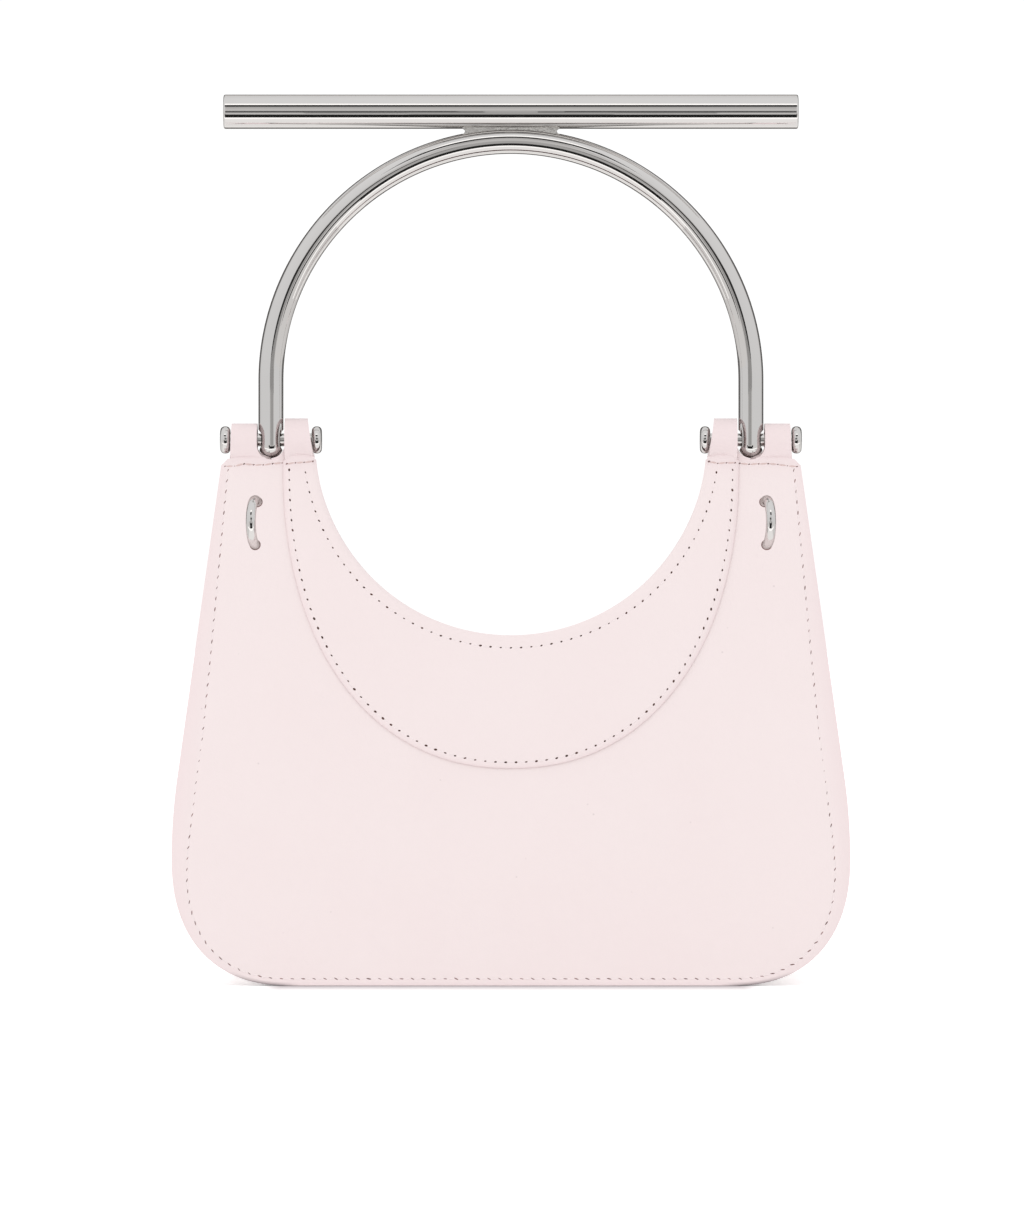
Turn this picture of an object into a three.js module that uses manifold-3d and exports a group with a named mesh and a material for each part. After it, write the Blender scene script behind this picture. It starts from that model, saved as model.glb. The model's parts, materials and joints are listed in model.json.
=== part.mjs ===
// A mini tote bag: two leather panels on a gusset strip, a yoke on the front and a stiff metal handle.
// Millimetres. X runs across the bag, Y from front to back, Z up. The origin is under the middle of the base.
import * as THREE from "three";
import { mergeVertices } from "three/addons/utils/BufferGeometryUtils.js";
import Module from "manifold-3d";

const wasm = await Module();
wasm.setup();

// Driving dimensions
const GAP = 0.3; // between pieces that lie on each other
const LEATHER = { panel: 1.8, yoke: 1.6, gusset: 1.2 };
const BODY = {
  depth: 62, // front to back along the base
  halfWidth: 93.4, // at its widest
  widestZ: 35.8,
  hipRadius: 159, // arc between the straight side and the widest height
  baseHalf: 60.7, // half of the straight bottom edge
  cornerPower: 2.25, // 2 would be an ellipse, more is squarer
  seamHalf: 80.8, // outer end of the stitches under the loops
  seamZ: 143.6,
  topHalf: 79, // outer end of the upper edge between the loops
  topZ: 145.4,
  pinch: 1.7, // middle plane to the inside of a panel from the seam up
  bulge: 3, // how far the middle of a panel swells out
  bulgeAtSides: 0.4, // share of the bulge left at the widest sides
};
const SCOOP = { radius: 55 }; // the round mouth, centred at the height of the pins
const YOKE = {
  half: 63.3,
  drop: 80.6,
  shoulderZ: 139.6,
  power: 2.2,
  lift: 0.45, // its gap to the panel
};
const GUSSET = {
  topZ: 139.8,
  edgeInset: 0.5, // the panel's edge to the flange's edge
  pastStitch: 1.7, // the stitches to the strip between the flanges
  bend: 1.6,
  leastShare: 0.15, // of the half width, left for the strip where the bends nearly meet
  sag: 2.5, // how far the sides fall in
};
const PIN = {
  z: 150.9,
  radius: 1.8,
  innerX: 55.75, // where the heads start
  outerX: 78.55,
  headRadius: 3.8,
  headThick: 2.8,
  headRound: 1.2,
};
const LOOP = {
  play: 1, // the pin to the inside of a loop
  yokeSlack: 0.95, // how much wider the loops of the yoke are than they need to be
  startZ: 143.1, // where the leather of a loop starts in its panel or yoke
  tailY: 0.5, // the tails lie between the panels, nearer to the back one
  tailTopZ: 146.2,
  tailEndZ: 140.6,
  fromPanel: { from: 71, width: 7.25 },
  fromYoke: { from: 56.05, width: 7.2 },
};
const HANDLE = {
  legX: 67.2,
  tube: 3.5,
  footZ: 145.8, // lowest point of a foot
  archZ: 167.7, // where the straight legs end
  archTopZ: 234.5, // middle of the tube at the top of the arch
  archPower: 1.99,
  barZ: 242.8,
  barRadius: 4.79,
  barHalf: 80.4,
  barChamfer: 0.5,
  weldWidth: 27.4,
  weldThick: 3,
  spotRadius: 2.9, // flats round the bore of a foot
  spotFromAxis: 2.65,
};
const STAPLE = { x: 71, z: 127.4, wire: 1.38, half: 6.15, straight: 1.4, behind: 0.7, lean: 9 };

// How far the outer row of stitches lies inside the panel's edge, by height
const STITCH_INSET = [
  { z: 0, inset: 1.8 },
  { z: 9, inset: 2.4 },
  { z: 20, inset: 3.3 },
  { z: 31, inset: 4 },
  { z: 49, inset: 5.2 },
  { z: 69, inset: 5.2 },
  { z: 93, inset: 4.2 },
  { z: 140, inset: 2 },
];

// Steps of the curves, and sides of the round sections
const STEPS = { side: 6, hip: 2, corner: 7, base: 3, across: 6, yoke: 14, yokeAcross: 4, bend: 3, web: 4 };
const SIDES = { tube: 16, arch: 44, bar: 24, pin: 20, rim: 4, wire: 10, staple: 22, loop: 10 };

const MATERIALS = {
  leather: new THREE.MeshStandardMaterial({ color: 0xf3dfde, roughness: 0.55, metalness: 0 }),
  metal: new THREE.MeshStandardMaterial({ color: 0xd6d4d0, roughness: 0.12, metalness: 1 }),
};

const { lerp, degToRad } = THREE.MathUtils;
const FRONT = -1;
const BACK = 1;
const BOTH_SIDES = [-1, 1];

// Numbers from 0 to 1 in equal steps
function fractions(steps) {
  return Array.from({ length: steps + 1 }, (_, k) => k / steps);
}

// Solids from closed geometries, and back
function solidOf(geometry) {
  const bare = geometry.clone();
  bare.deleteAttribute("normal");
  bare.deleteAttribute("uv");
  const merged = mergeVertices(bare, 1e-4);
  const mesh = new wasm.Mesh({
    numProp: 3,
    vertProperties: merged.attributes.position.array,
    triVerts: new Uint32Array(merged.index.array),
  });
  return new wasm.Manifold(mesh);
}

function geometryOf(solid) {
  const mesh = solid.getMesh();
  const geometry = new THREE.BufferGeometry();
  geometry.setAttribute("position", new THREE.BufferAttribute(mesh.vertProperties, 3));
  geometry.setIndex(new THREE.BufferAttribute(mesh.triVerts, 1));
  geometry.computeVertexNormals();
  return geometry;
}

// A closed wall from a grid: each station is a row of { outer, inner } points.
function wall(stations) {
  const across = stations[0].length;
  const points = stations.flat().flatMap(({ outer, inner }) => [outer, inner]);
  const at = (i, j, face) => 2 * (i * across + j) + face;
  const index = [];
  const quad = (a, b, c, d) => index.push(a, b, c, a, c, d);
  const iLast = stations.length - 1;
  const jLast = across - 1;
  for (let i = 0; i < iLast; i++) {
    for (let j = 0; j < jLast; j++) {
      quad(at(i, j, 0), at(i + 1, j, 0), at(i + 1, j + 1, 0), at(i, j + 1, 0));
      quad(at(i, j + 1, 1), at(i + 1, j + 1, 1), at(i + 1, j, 1), at(i, j, 1));
    }
    quad(at(i, 0, 1), at(i + 1, 0, 1), at(i + 1, 0, 0), at(i, 0, 0));
    quad(at(i, jLast, 0), at(i + 1, jLast, 0), at(i + 1, jLast, 1), at(i, jLast, 1));
  }
  for (let j = 0; j < jLast; j++) {
    quad(at(0, j, 0), at(0, j + 1, 0), at(0, j + 1, 1), at(0, j, 1));
    quad(at(iLast, j, 1), at(iLast, j + 1, 1), at(iLast, j + 1, 0), at(iLast, j, 0));
  }
  return facingOut(new THREE.BufferGeometry().setFromPoints(points), index);
}

// Gives a geometry its triangles, turned round if they enclose a negative volume.
function facingOut(geometry, index) {
  const corner = (k) => new THREE.Vector3().fromBufferAttribute(geometry.attributes.position, index[k]);
  let volume = 0;
  for (let k = 0; k < index.length; k += 3) volume += corner(k).dot(corner(k + 1).cross(corner(k + 2)));
  geometry.setIndex(volume < 0 ? index.reverse() : index);
  return geometry;
}

function onCircle(radius, angle) {
  return new THREE.Vector2(radius * Math.cos(angle), radius * Math.sin(angle));
}

function roundSection(radius, sides) {
  const corners = fractions(sides).slice(0, -1);
  return new THREE.Shape(corners.map((f) => onCircle(radius, 2 * Math.PI * f)));
}

// A turned piece along X, from a profile of [radius, x] pairs that starts and ends on the axis.
function turnedAlongX(profile, sides) {
  const points = profile.map(([radius, x]) => new THREE.Vector2(radius, x));
  return new THREE.LatheGeometry(points, sides).rotateZ(-Math.PI / 2);
}

function rodAlongX(radius, from, to, sides) {
  const profile = [
    [0, from],
    [radius, from],
    [radius, to],
    [0, to],
  ];
  return turnedAlongX(profile, sides);
}

// Outline of the right half of a panel, from the upper edge down to the middle of the base.
function panelOutline() {
  const { halfWidth, widestZ, hipRadius, baseHalf, cornerPower } = BODY;
  const hip = new THREE.Vector2(halfWidth - hipRadius, widestZ);
  const seam = new THREE.Vector2(BODY.seamHalf, BODY.seamZ);
  const toSeam = seam.clone().sub(hip);
  const hipAngle = toSeam.angle() - Math.acos(hipRadius / toSeam.length());
  const onHip = (angle) => onCircle(hipRadius, angle).add(hip);
  const onCorner = (angle) => {
    const x = baseHalf + (halfWidth - baseHalf) * Math.cos(angle) ** (2 / cornerPower);
    return new THREE.Vector2(x, widestZ * (1 - Math.sin(angle) ** (2 / cornerPower)));
  };
  const base = new THREE.Vector2(baseHalf, 0);
  return [
    new THREE.Vector2(BODY.topHalf, BODY.topZ),
    ...fractions(STEPS.side).map((f) => seam.clone().lerp(onHip(hipAngle), f)),
    ...fractions(STEPS.hip).slice(1, -1).map((f) => onHip(hipAngle * (1 - f))),
    ...fractions(STEPS.corner).slice(0, -1).map((f) => onCorner((f * Math.PI) / 2)),
    ...fractions(STEPS.base).map((f) => base.clone().multiplyScalar(1 - f)),
  ];
}

// Lower edge of the right half of the yoke, from the upper edge down to the middle.
function yokeOutline() {
  const { half, drop, shoulderZ, power } = YOKE;
  const onEdge = (angle) => {
    const x = half * Math.max(Math.cos(angle), 0) ** (2 / power);
    return new THREE.Vector2(x, shoulderZ - drop * Math.sin(angle) ** (2 / power));
  };
  const round = fractions(STEPS.yoke).map((f) => onEdge((f * Math.PI) / 2));
  return [new THREE.Vector2(half, BODY.topZ), ...round];
}

// A point on the right half of the scoop, by the share of the way from the upper edge to its lowest point.
function scoopPoint(share) {
  const start = Math.asin((BODY.topZ - PIN.z) / SCOOP.radius);
  const point = onCircle(SCOOP.radius, lerp(start, -Math.PI / 2, share));
  return point.add(new THREE.Vector2(0, PIN.z));
}

// Pairs of scoop and outline points all the way from the left upper edge to the right one.
function pairsRound(outline) {
  const lengths = outline.map((p, k) => (k ? p.distanceTo(outline[k - 1]) : 0));
  const total = lengths.reduce((sum, length) => sum + length, 0);
  let run = 0;
  const right = outline.map((edge, k) => {
    run += lengths[k];
    return { scoop: scoopPoint(run / total), edge };
  });
  const mirrored = (p) => new THREE.Vector2(-p.x, p.y);
  const left = right.map(({ scoop, edge }) => ({ scoop: mirrored(scoop), edge: mirrored(edge) }));
  return [...left.slice(0, -1), ...right.reverse()];
}

// Middle plane to the inside of a panel: a wedge that is pinched at the seam and swells in the middle.
function insideOfPanel(x, z) {
  const down = Math.max(1 - z / BODY.seamZ, 0);
  const wedge = lerp(BODY.pinch, BODY.depth / 2 - LEATHER.panel, down);
  const swell = 4 * down * (1 - down);
  const sideways = 1 - (1 - BODY.bulgeAtSides) * (x / BODY.halfWidth) ** 2;
  return wedge + BODY.bulge * swell * sideways;
}

// A leather layer that follows a panel, `above` the panel's inside, between the scoop and an outline.
function layer(outline, side, above, thick, steps) {
  const stations = pairsRound(outline).map(({ scoop, edge }) =>
    fractions(steps).map((f) => {
      const p = scoop.clone().lerp(edge, f);
      const inner = insideOfPanel(p.x, p.y) + above;
      return {
        outer: new THREE.Vector3(p.x, side * (inner + thick), p.y),
        inner: new THREE.Vector3(p.x, side * inner, p.y),
      };
    }),
  );
  return solidOf(wall(stations));
}

// A loop of leather over a pin: up from `frontY` on the seam, round the pin, down to a tail inside the bag.
function loop(frontY, radius, centreY, thick, { from, width }, side) {
  const half = thick / 2;
  const middle = radius - half;
  const centre = new THREE.Vector2(centreY, PIN.z);
  const over = fractions(SIDES.loop).map((f) => onCircle(middle, Math.PI * (1 - f)).add(centre));
  const path = [
    new THREE.Vector2(frontY, LOOP.startZ),
    new THREE.Vector2(frontY, BODY.topZ),
    ...over,
    new THREE.Vector2(LOOP.tailY, LOOP.tailTopZ),
    new THREE.Vector2(LOOP.tailY, LOOP.tailEndZ),
  ];
  const start = side > 0 ? from : -from - width;
  const section = new THREE.Shape(ribbon(path, half));
  const strap = new THREE.ExtrudeGeometry(section, { depth: width, bevelEnabled: false });
  const upright = new THREE.Matrix4().set(0, 0, 1, start, 1, 0, 0, 0, 0, 1, 0, 0, 0, 0, 0, 1);
  return solidOf(strap.applyMatrix4(upright));
}

// Outline of a ribbon of even thickness along a path.
function ribbon(path, half) {
  const offset = (way) =>
    path.map((p, k) => {
      const before = path[Math.max(k - 1, 0)];
      const after = path[Math.min(k + 1, path.length - 1)];
      const along = after.clone().sub(before).normalize();
      return new THREE.Vector2(p.x - way * half * along.y, p.y + way * half * along.x);
    });
  return [...offset(1), ...offset(-1).reverse()];
}

// The frame of a staple: on the face of the front panel, leaning towards the bag's side.
function stapleFrame(side) {
  const face = insideOfPanel(STAPLE.x, STAPLE.z) + LEATHER.panel;
  const slope = insideOfPanel(STAPLE.x, STAPLE.z - 1) - insideOfPanel(STAPLE.x, STAPLE.z);
  const frame = new THREE.Object3D();
  frame.position.set(side * STAPLE.x, FRONT * face, STAPLE.z);
  frame.rotation.set(-Math.atan(slope), 0, side * degToRad(STAPLE.lean), "ZXY");
  frame.updateMatrix();
  return frame;
}

// Middle of the staple's wire, in its own frame: out of the leather, half a circle, and back in.
class StapleCurve extends THREE.Curve {
  getPoint(t) {
    const { half, straight, behind } = STAPLE;
    const leg = straight + behind + LEATHER.panel;
    const arc = Math.PI * half;
    const run = t * (2 * leg + arc);
    const start = straight - leg;
    if (run <= leg) return new THREE.Vector3(0, -(start + run), half);
    if (run >= leg + arc) return new THREE.Vector3(0, -(straight - (run - leg - arc)), -half);
    const angle = Math.PI / 2 - (run - leg) / half;
    return new THREE.Vector3(0, -(straight + half * Math.cos(angle)), half * Math.sin(angle));
  }
}

function staple() {
  const options = { steps: SIDES.staple, extrudePath: new StapleCurve(), bevelEnabled: false };
  return new THREE.ExtrudeGeometry(roundSection(STAPLE.wire, SIDES.wire), options);
}

// Holes in the front panel for the legs of one staple.
function stapleHoles(side) {
  const through = 4 * LEATHER.panel;
  return BOTH_SIDES.map((end) => {
    const hole = new THREE.CylinderGeometry(STAPLE.wire + GAP, STAPLE.wire + GAP, through, SIDES.wire);
    return solidOf(hole.translate(0, 0, end * STAPLE.half).applyMatrix4(stapleFrame(side).matrix));
  });
}

// Leather pieces
function frontPanel() {
  let solid = layer(panelOutline(), FRONT, 0, LEATHER.panel, STEPS.across);
  const radius = PIN.radius + LOOP.play + LEATHER.panel;
  const frontY = FRONT * (BODY.pinch + LEATHER.panel / 2);
  for (const side of BOTH_SIDES) {
    solid = solid.add(loop(frontY, radius, 0, LEATHER.panel, LOOP.fromPanel, side));
    for (const hole of stapleHoles(side)) solid = solid.subtract(hole);
  }
  return geometryOf(solid);
}

function backPanel() {
  return geometryOf(layer(panelOutline(), BACK, 0, LEATHER.panel, STEPS.across));
}

// The yoke lies on the front panel, so its loops are wider than the panel's own.
function frontYoke() {
  const above = LEATHER.panel + YOKE.lift;
  let solid = layer(yokeOutline(), FRONT, above, LEATHER.yoke, STEPS.yokeAcross);
  const front = BODY.pinch + above + LEATHER.yoke;
  const back = PIN.radius + LOOP.play + LEATHER.panel;
  const radius = (front + back) / 2 + LOOP.yokeSlack;
  const centreY = (back - front) / 2;
  const frontY = FRONT * (front - LEATHER.yoke / 2);
  for (const side of BOTH_SIDES)
    solid = solid.add(loop(frontY, radius, centreY, LEATHER.yoke, LOOP.fromYoke, side));
  return geometryOf(solid);
}

function stitchInset(z) {
  const next = STITCH_INSET.findIndex((row) => row.z >= z);
  if (next < 0) return STITCH_INSET.at(-1).inset;
  if (next === 0) return STITCH_INSET[0].inset;
  const [low, high] = [STITCH_INSET[next - 1], STITCH_INSET[next]];
  return lerp(low.inset, high.inset, (z - low.z) / (high.z - low.z));
}

// Section of the gusset: a flange on each panel, a round bend, and the strip between. Each point has its
// inset from the panel's edge, how far it lies from the flange's plane, and its share of the half width.
function gussetSection(width, sag) {
  const bend = fractions(STEPS.bend).map((f) => {
    const angle = (f * Math.PI) / 2;
    const inset = width - GUSSET.bend * (1 - Math.sin(angle));
    return { inset, fromPanel: GUSSET.bend * (1 - Math.cos(angle)), share: 1 };
  });
  const half = [{ inset: GUSSET.edgeInset, fromPanel: 0, share: 1 }, ...bend];
  const strip = fractions(STEPS.web).slice(1, -1).map((f) => {
    const share = 1 - 2 * f;
    return { inset: width + sag * (1 - share ** 2), fromPanel: GUSSET.bend, share };
  });
  const mirrored = half.map((p) => ({ ...p, share: -1 })).reverse();
  return [...half, ...strip, ...mirrored];
}

function gusset() {
  const right = panelOutline().slice(1);
  const [seam, hipEnd] = [right[0], right[STEPS.side]];
  const start = seam.clone().lerp(hipEnd, (seam.y - GUSSET.topZ) / (seam.y - hipEnd.y));
  const half = [start, ...right.slice(1)];
  const round = [...half.slice(0, -1).map((p) => new THREE.Vector2(-p.x, p.y)), ...half.reverse()];
  const middle = round.map((p, k) => {
    const before = round[Math.max(k - 1, 0)];
    const after = round[Math.min(k + 1, round.length - 1)];
    const along = after.clone().sub(before).normalize();
    const inwards = new THREE.Vector2(-along.y, along.x);
    const sag = GUSSET.sag * Math.sin((Math.PI * p.y) / GUSSET.topZ);
    return gussetSection(stitchInset(p.y) + GUSSET.pastStitch, sag).map(({ inset, fromPanel, share }) => {
      const q = p.clone().addScaledVector(inwards, inset);
      const face = insideOfPanel(q.x, q.y) - GAP - LEATHER.gusset / 2;
      const half = Math.max(face - fromPanel, face * GUSSET.leastShare);
      return new THREE.Vector3(q.x, FRONT * share * half, q.y);
    });
  });
  return geometryOf(solidOf(wall(thickened(middle, LEATHER.gusset))));
}

// Gives a grid of middle points its thickness along the normals.
function thickened(grid, thick) {
  const span = (row, k) => [row[Math.max(k - 1, 0)], row[Math.min(k + 1, row.length - 1)]];
  return grid.map((row, i) =>
    row.map((p, j) => {
      const [left, right] = span(row, j);
      const [before, after] = span(grid, i).map((r) => r[j]);
      const across = right.clone().sub(left);
      const normal = after.clone().sub(before).cross(across).normalize();
      return {
        outer: p.clone().addScaledVector(normal, thick / 2),
        inner: p.clone().addScaledVector(normal, -thick / 2),
      };
    }),
  );
}

// Metal pieces
class ArchCurve extends THREE.Curve {
  getPoint(t) {
    const { legX, archZ, archTopZ, archPower, footZ, tube } = HANDLE;
    const leg = archZ - footZ - tube;
    const rise = archTopZ - archZ;
    const arc = Math.PI * rise;
    const run = t * (2 * leg + arc);
    if (run <= leg) return new THREE.Vector3(-legX, 0, archZ - leg + run);
    if (run >= leg + arc) return new THREE.Vector3(legX, 0, archZ - (run - leg - arc));
    const angle = Math.PI * (1 - (run - leg) / arc);
    const power = (value) => Math.sign(value) * Math.abs(value) ** (2 / archPower);
    return new THREE.Vector3(legX * power(Math.cos(angle)), 0, archZ + rise * power(Math.sin(angle)));
  }
}

function bar() {
  const { barHalf, barRadius, barChamfer } = HANDLE;
  const profile = [
    [0, -barHalf],
    [barRadius - barChamfer, -barHalf],
    [barRadius, -barHalf + barChamfer],
    [barRadius, barHalf - barChamfer],
    [barRadius - barChamfer, barHalf],
    [0, barHalf],
  ];
  return solidOf(turnedAlongX(profile, SIDES.bar).translate(0, 0, HANDLE.barZ));
}

function handle() {
  const { legX, tube, footZ, weldWidth, weldThick, spotRadius, spotFromAxis } = HANDLE;
  const archOptions = { steps: SIDES.arch, extrudePath: new ArchCurve(), bevelEnabled: false };
  let solid = solidOf(new THREE.ExtrudeGeometry(roundSection(tube, SIDES.tube), archOptions));
  const weldLow = HANDLE.archTopZ;
  const weldHigh = HANDLE.barZ - HANDLE.barRadius / 2;
  const weld = new THREE.BoxGeometry(weldWidth, weldThick, weldHigh - weldLow);
  solid = solid.add(bar()).add(solidOf(weld.translate(0, 0, (weldLow + weldHigh) / 2)));
  for (const side of BOTH_SIDES) {
    const foot = new THREE.SphereGeometry(tube, SIDES.tube, SIDES.tube / 2).rotateX(Math.PI / 2);
    solid = solid.add(solidOf(foot.translate(side * legX, 0, footZ + tube)));
    const clear = 2 * tube;
    const bore = rodAlongX(PIN.radius + GAP, -clear, clear, SIDES.pin);
    solid = solid.subtract(solidOf(bore.translate(side * legX, 0, PIN.z)));
    for (const end of BOTH_SIDES) {
      const flat = rodAlongX(spotRadius, spotFromAxis, clear, SIDES.pin).translate(0, 0, PIN.z);
      if (end < 0) flat.rotateZ(Math.PI);
      solid = solid.subtract(solidOf(flat.translate(side * legX, 0, 0)));
    }
  }
  return geometryOf(solid);
}

// A hinge pin with a head at both ends, whose rims are rounded.
function pin() {
  const { radius, innerX, outerX, headRadius, headThick, headRound } = PIN;
  const rim = (x, way) =>
    fractions(SIDES.rim).map((f) => {
      const angle = (f * Math.PI) / 2;
      const back = headRound * (1 - Math.sin(angle));
      return [headRadius - headRound * (1 - Math.cos(angle)), x - way * back];
    });
  const innerEnd = innerX - headThick;
  const outerEnd = outerX + headThick;
  const profile = [
    [0, innerEnd],
    ...rim(innerEnd, -1).reverse(),
    ...rim(innerX, 1),
    [radius, innerX],
    [radius, outerX],
    ...rim(outerX, -1).reverse(),
    ...rim(outerEnd, 1),
    [0, outerEnd],
  ];
  return turnedAlongX(profile, SIDES.pin);
}

// The assembly
const bag = new THREE.Group();

function piece(name, geometry, material, parent = bag) {
  const mesh = new THREE.Mesh(geometry, material);
  mesh.name = name;
  parent.add(mesh);
  return mesh;
}

piece("front_panel", frontPanel(), MATERIALS.leather);
piece("back_panel", backPanel(), MATERIALS.leather);
piece("front_yoke", frontYoke(), MATERIALS.leather);
piece("gusset", gusset(), MATERIALS.leather);
piece("handle", handle(), MATERIALS.metal);
for (const side of BOTH_SIDES) {
  const where = side < 0 ? "left" : "right";
  const hinge = piece(`pin_${where}`, pin(), MATERIALS.metal);
  hinge.position.z = PIN.z;
  if (side < 0) hinge.rotation.z = Math.PI;
  const ring = piece(`staple_${where}`, staple(), MATERIALS.metal);
  const frame = stapleFrame(side);
  ring.position.copy(frame.position);
  ring.rotation.copy(frame.rotation);
}

export default bag;
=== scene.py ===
"""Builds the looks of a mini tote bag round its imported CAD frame: leather, stitches and a metal handle."""

import bisect
import json
import math
import random
from collections import namedtuple

import bmesh
import bpy
from bpy.props import FloatProperty, FloatVectorProperty, IntProperty, PointerProperty
from bpy.types import Operator, Panel, PropertyGroup
from mathutils import Matrix, Vector


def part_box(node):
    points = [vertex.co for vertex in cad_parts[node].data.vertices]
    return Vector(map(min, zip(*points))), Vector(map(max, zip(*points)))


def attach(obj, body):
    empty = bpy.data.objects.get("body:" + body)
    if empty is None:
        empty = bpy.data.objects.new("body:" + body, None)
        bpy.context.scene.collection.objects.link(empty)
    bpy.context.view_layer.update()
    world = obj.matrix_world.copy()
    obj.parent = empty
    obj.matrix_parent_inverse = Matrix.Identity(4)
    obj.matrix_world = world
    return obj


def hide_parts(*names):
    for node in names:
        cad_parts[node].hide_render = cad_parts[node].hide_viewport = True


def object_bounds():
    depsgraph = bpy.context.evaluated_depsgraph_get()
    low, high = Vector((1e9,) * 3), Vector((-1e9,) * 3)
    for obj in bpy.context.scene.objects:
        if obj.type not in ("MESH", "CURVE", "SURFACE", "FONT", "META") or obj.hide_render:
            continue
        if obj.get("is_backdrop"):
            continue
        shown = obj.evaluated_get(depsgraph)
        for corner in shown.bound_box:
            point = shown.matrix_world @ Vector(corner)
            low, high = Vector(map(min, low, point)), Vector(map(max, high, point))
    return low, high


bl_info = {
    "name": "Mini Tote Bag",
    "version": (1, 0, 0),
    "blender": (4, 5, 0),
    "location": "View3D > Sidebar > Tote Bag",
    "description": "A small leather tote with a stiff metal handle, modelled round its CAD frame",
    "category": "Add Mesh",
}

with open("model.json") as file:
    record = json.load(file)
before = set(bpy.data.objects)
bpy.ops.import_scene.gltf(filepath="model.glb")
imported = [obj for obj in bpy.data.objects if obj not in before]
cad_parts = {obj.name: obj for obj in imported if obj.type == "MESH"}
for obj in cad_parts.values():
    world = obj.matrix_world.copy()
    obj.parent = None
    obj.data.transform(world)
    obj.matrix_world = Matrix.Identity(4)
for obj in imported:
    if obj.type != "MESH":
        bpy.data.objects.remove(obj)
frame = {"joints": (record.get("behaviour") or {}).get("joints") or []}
CAD_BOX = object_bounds()

MM = 0.001
FRONT, BACK = -1, 1
BOTH_SIDES = (-1, 1)
LEFT_RIGHT = ((-1, "left"), (1, "right"))
BAG, HANDLE = "bag", "handle"
LEATHER, METAL = "leather", "metal"
HINGE = frame["joints"][0]
PANEL_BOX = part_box("back_panel")
SHADE = "edge_shade"
CORNER_SHADE = "scuff"

# Outer row of stitches: height in millimetres, and how far the row lies inside the panel's edge there
STITCH_INSET = ((0, 1.8), (9, 2.4), (20, 3.3), (31, 4.0), (49, 5.2), (69, 5.2), (93, 4.2), (140, 2.0))
# Distances in millimetres where the walls' grids have their lines, closer near the edges and the seams
TOP_MARKS = (0, 0.45, 0.9, 1.35, 1.75, 2.15, 2.55, 2.95, 3.35, 3.8, 4.4, 5.4, 6.8)
SCOOP_MARKS = (0, 0.35, 0.8, 1.4, 2.0, 2.55, 3.1, 3.65, 4.3, 5.3)
EDGE_SHARES = (0, 0.12, 0.28, 0.48, 0.7, 0.86, 1)
PAST_STITCH_MARKS = (0.5, 1.0, 1.7, 2.8)
YOKE_MARKS = (0, 0.25, 0.6, 1.05, 1.5, 2.0, 2.5, 3.1)
# Steps of the grids along an edge, and how many they have between the lines near the scoop and the edge
GRID_STEP, GUSSET_STEP = 1.7 * MM, 1.8 * MM
PANEL_STEPS, YOKE_STEPS = 15, 12
# Limits where the grids' rows meet an edge at a slant and where the yoke is narrow
LEAST_SLANT = 0.6
LEAST_YOKE = 8.45 * MM
# A panel's edge turns in fully where its stitches lie this far from it, and the yoke's edges over this reach
FULL_ROLL_INSET = 5 * MM
YOKE_ROLL_REACH = 1.4 * MM
# Rounding of the rims of the panels, the yoke and the gusset
PANEL_RIM, YOKE_RIM, GUSSET_RIM = 0.5 * MM, 0.45 * MM, 0.35 * MM
# Grid lines over which the yoke's edge has a deeper colour
YOKE_SHADE_LINES = 4
# Painted shade along the cut edge of the lower corners, where it turns under towards the floor, from none to
# full: by height, by place across and by grid lines from the edge
CORNER_SHADE_HEIGHTS = (4 * MM, 1 * MM)
CORNER_SHADE_ACROSS = (58 * MM, 64 * MM)
CORNER_SHADE_LINES = (3, 0)

# Foot of a loop: height in millimetres above the panel, and the share of the crease's depth there
CREASE_FOOT = ((0.25, 0.3), (0.45, 0.85), (0.6, 1.0), (0.8, 0.7), (1.1, 0.2))
PLAIN_FOOT = ((1.6, 0), (2.4, 0), (3.4, 0), (4.4, 0))
# The crease fades over this share of a loop's width, on the side of the handle's foot
CREASE_FADE = 0.5
# How far the foot of a loop bows up, and a power that moves the top of the bow outwards
PANEL_BOW, YOKE_BOW = 0.15 * MM, 0.8 * MM
BOW_POWER = 0.75
# Share of the flare at the foot and at the top of a loop, and how much of it the panel's loops have
FLARE_FOOT, FLARE_TOP = 0.55, -0.45
PANEL_FLARE = 0.3
# Inner corner of the notch for a foot of the handle: heights in millimetres of its rows, and its width
CORNER_RISE = (0.3, 0.7, 1.2, 1.8, 2.5, 3.2)
NOTCH_CORNER = 6 * MM
LEAST_NOTCH = 0.05 * MM
# The yoke's loops grow from this much more of its upper edge, on their free side
YOKE_LOOP_ROOT = 1.05 * MM

# Ends of the seams under the loops, across the bag, and their gaps outside and inside the yoke's edge
SEAM_OUTER, SEAM_INNER = 79.9 * MM, 55.3 * MM
PAST_YOKE, INSIDE_YOKE = 0.6 * MM, 0.7 * MM
# How far below the seam the other rows end, and below the gusset's top those of its flanges
BELOW_SEAM, SCOOP_BELOW_SEAM, BELOW_GUSSET_TOP = 1.2 * MM, 2.4 * MM, 1 * MM
# Needle holes: depth, play of a punched hole, and ranges of their size, width and turn
HOLE_DEPTH, PUNCH_PLAY = 0.1 * MM, 0.25 * MM
HOLE_SIZES, HOLE_WIDTHS, HOLE_TURNS = (0.74, 1.06), (0.8, 1.15), (-0.22, 0.22)
SEAM_HOLE, SEAM_WOBBLE = 0.36 * MM, 0.3 * MM
# Thread: range of its turn, play of its height, and the share of a hole's length that it leaves free
THREAD_TURNS, THREAD_PLAY, THREAD_GAP = (0.0, 0.1), 0.08, 0.6
# Finishes of the holes and threads, in the order of their material slots
DOT, SLIT, KNOT = range(3)

# Steps of the curves: hip, lower corner, yoke's edge and row of stitches along the mouth
HIP_STEPS, CORNER_STEPS, CRESCENT_STEPS, SCOOP_STEPS = 40, 80, 120, 200
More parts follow.
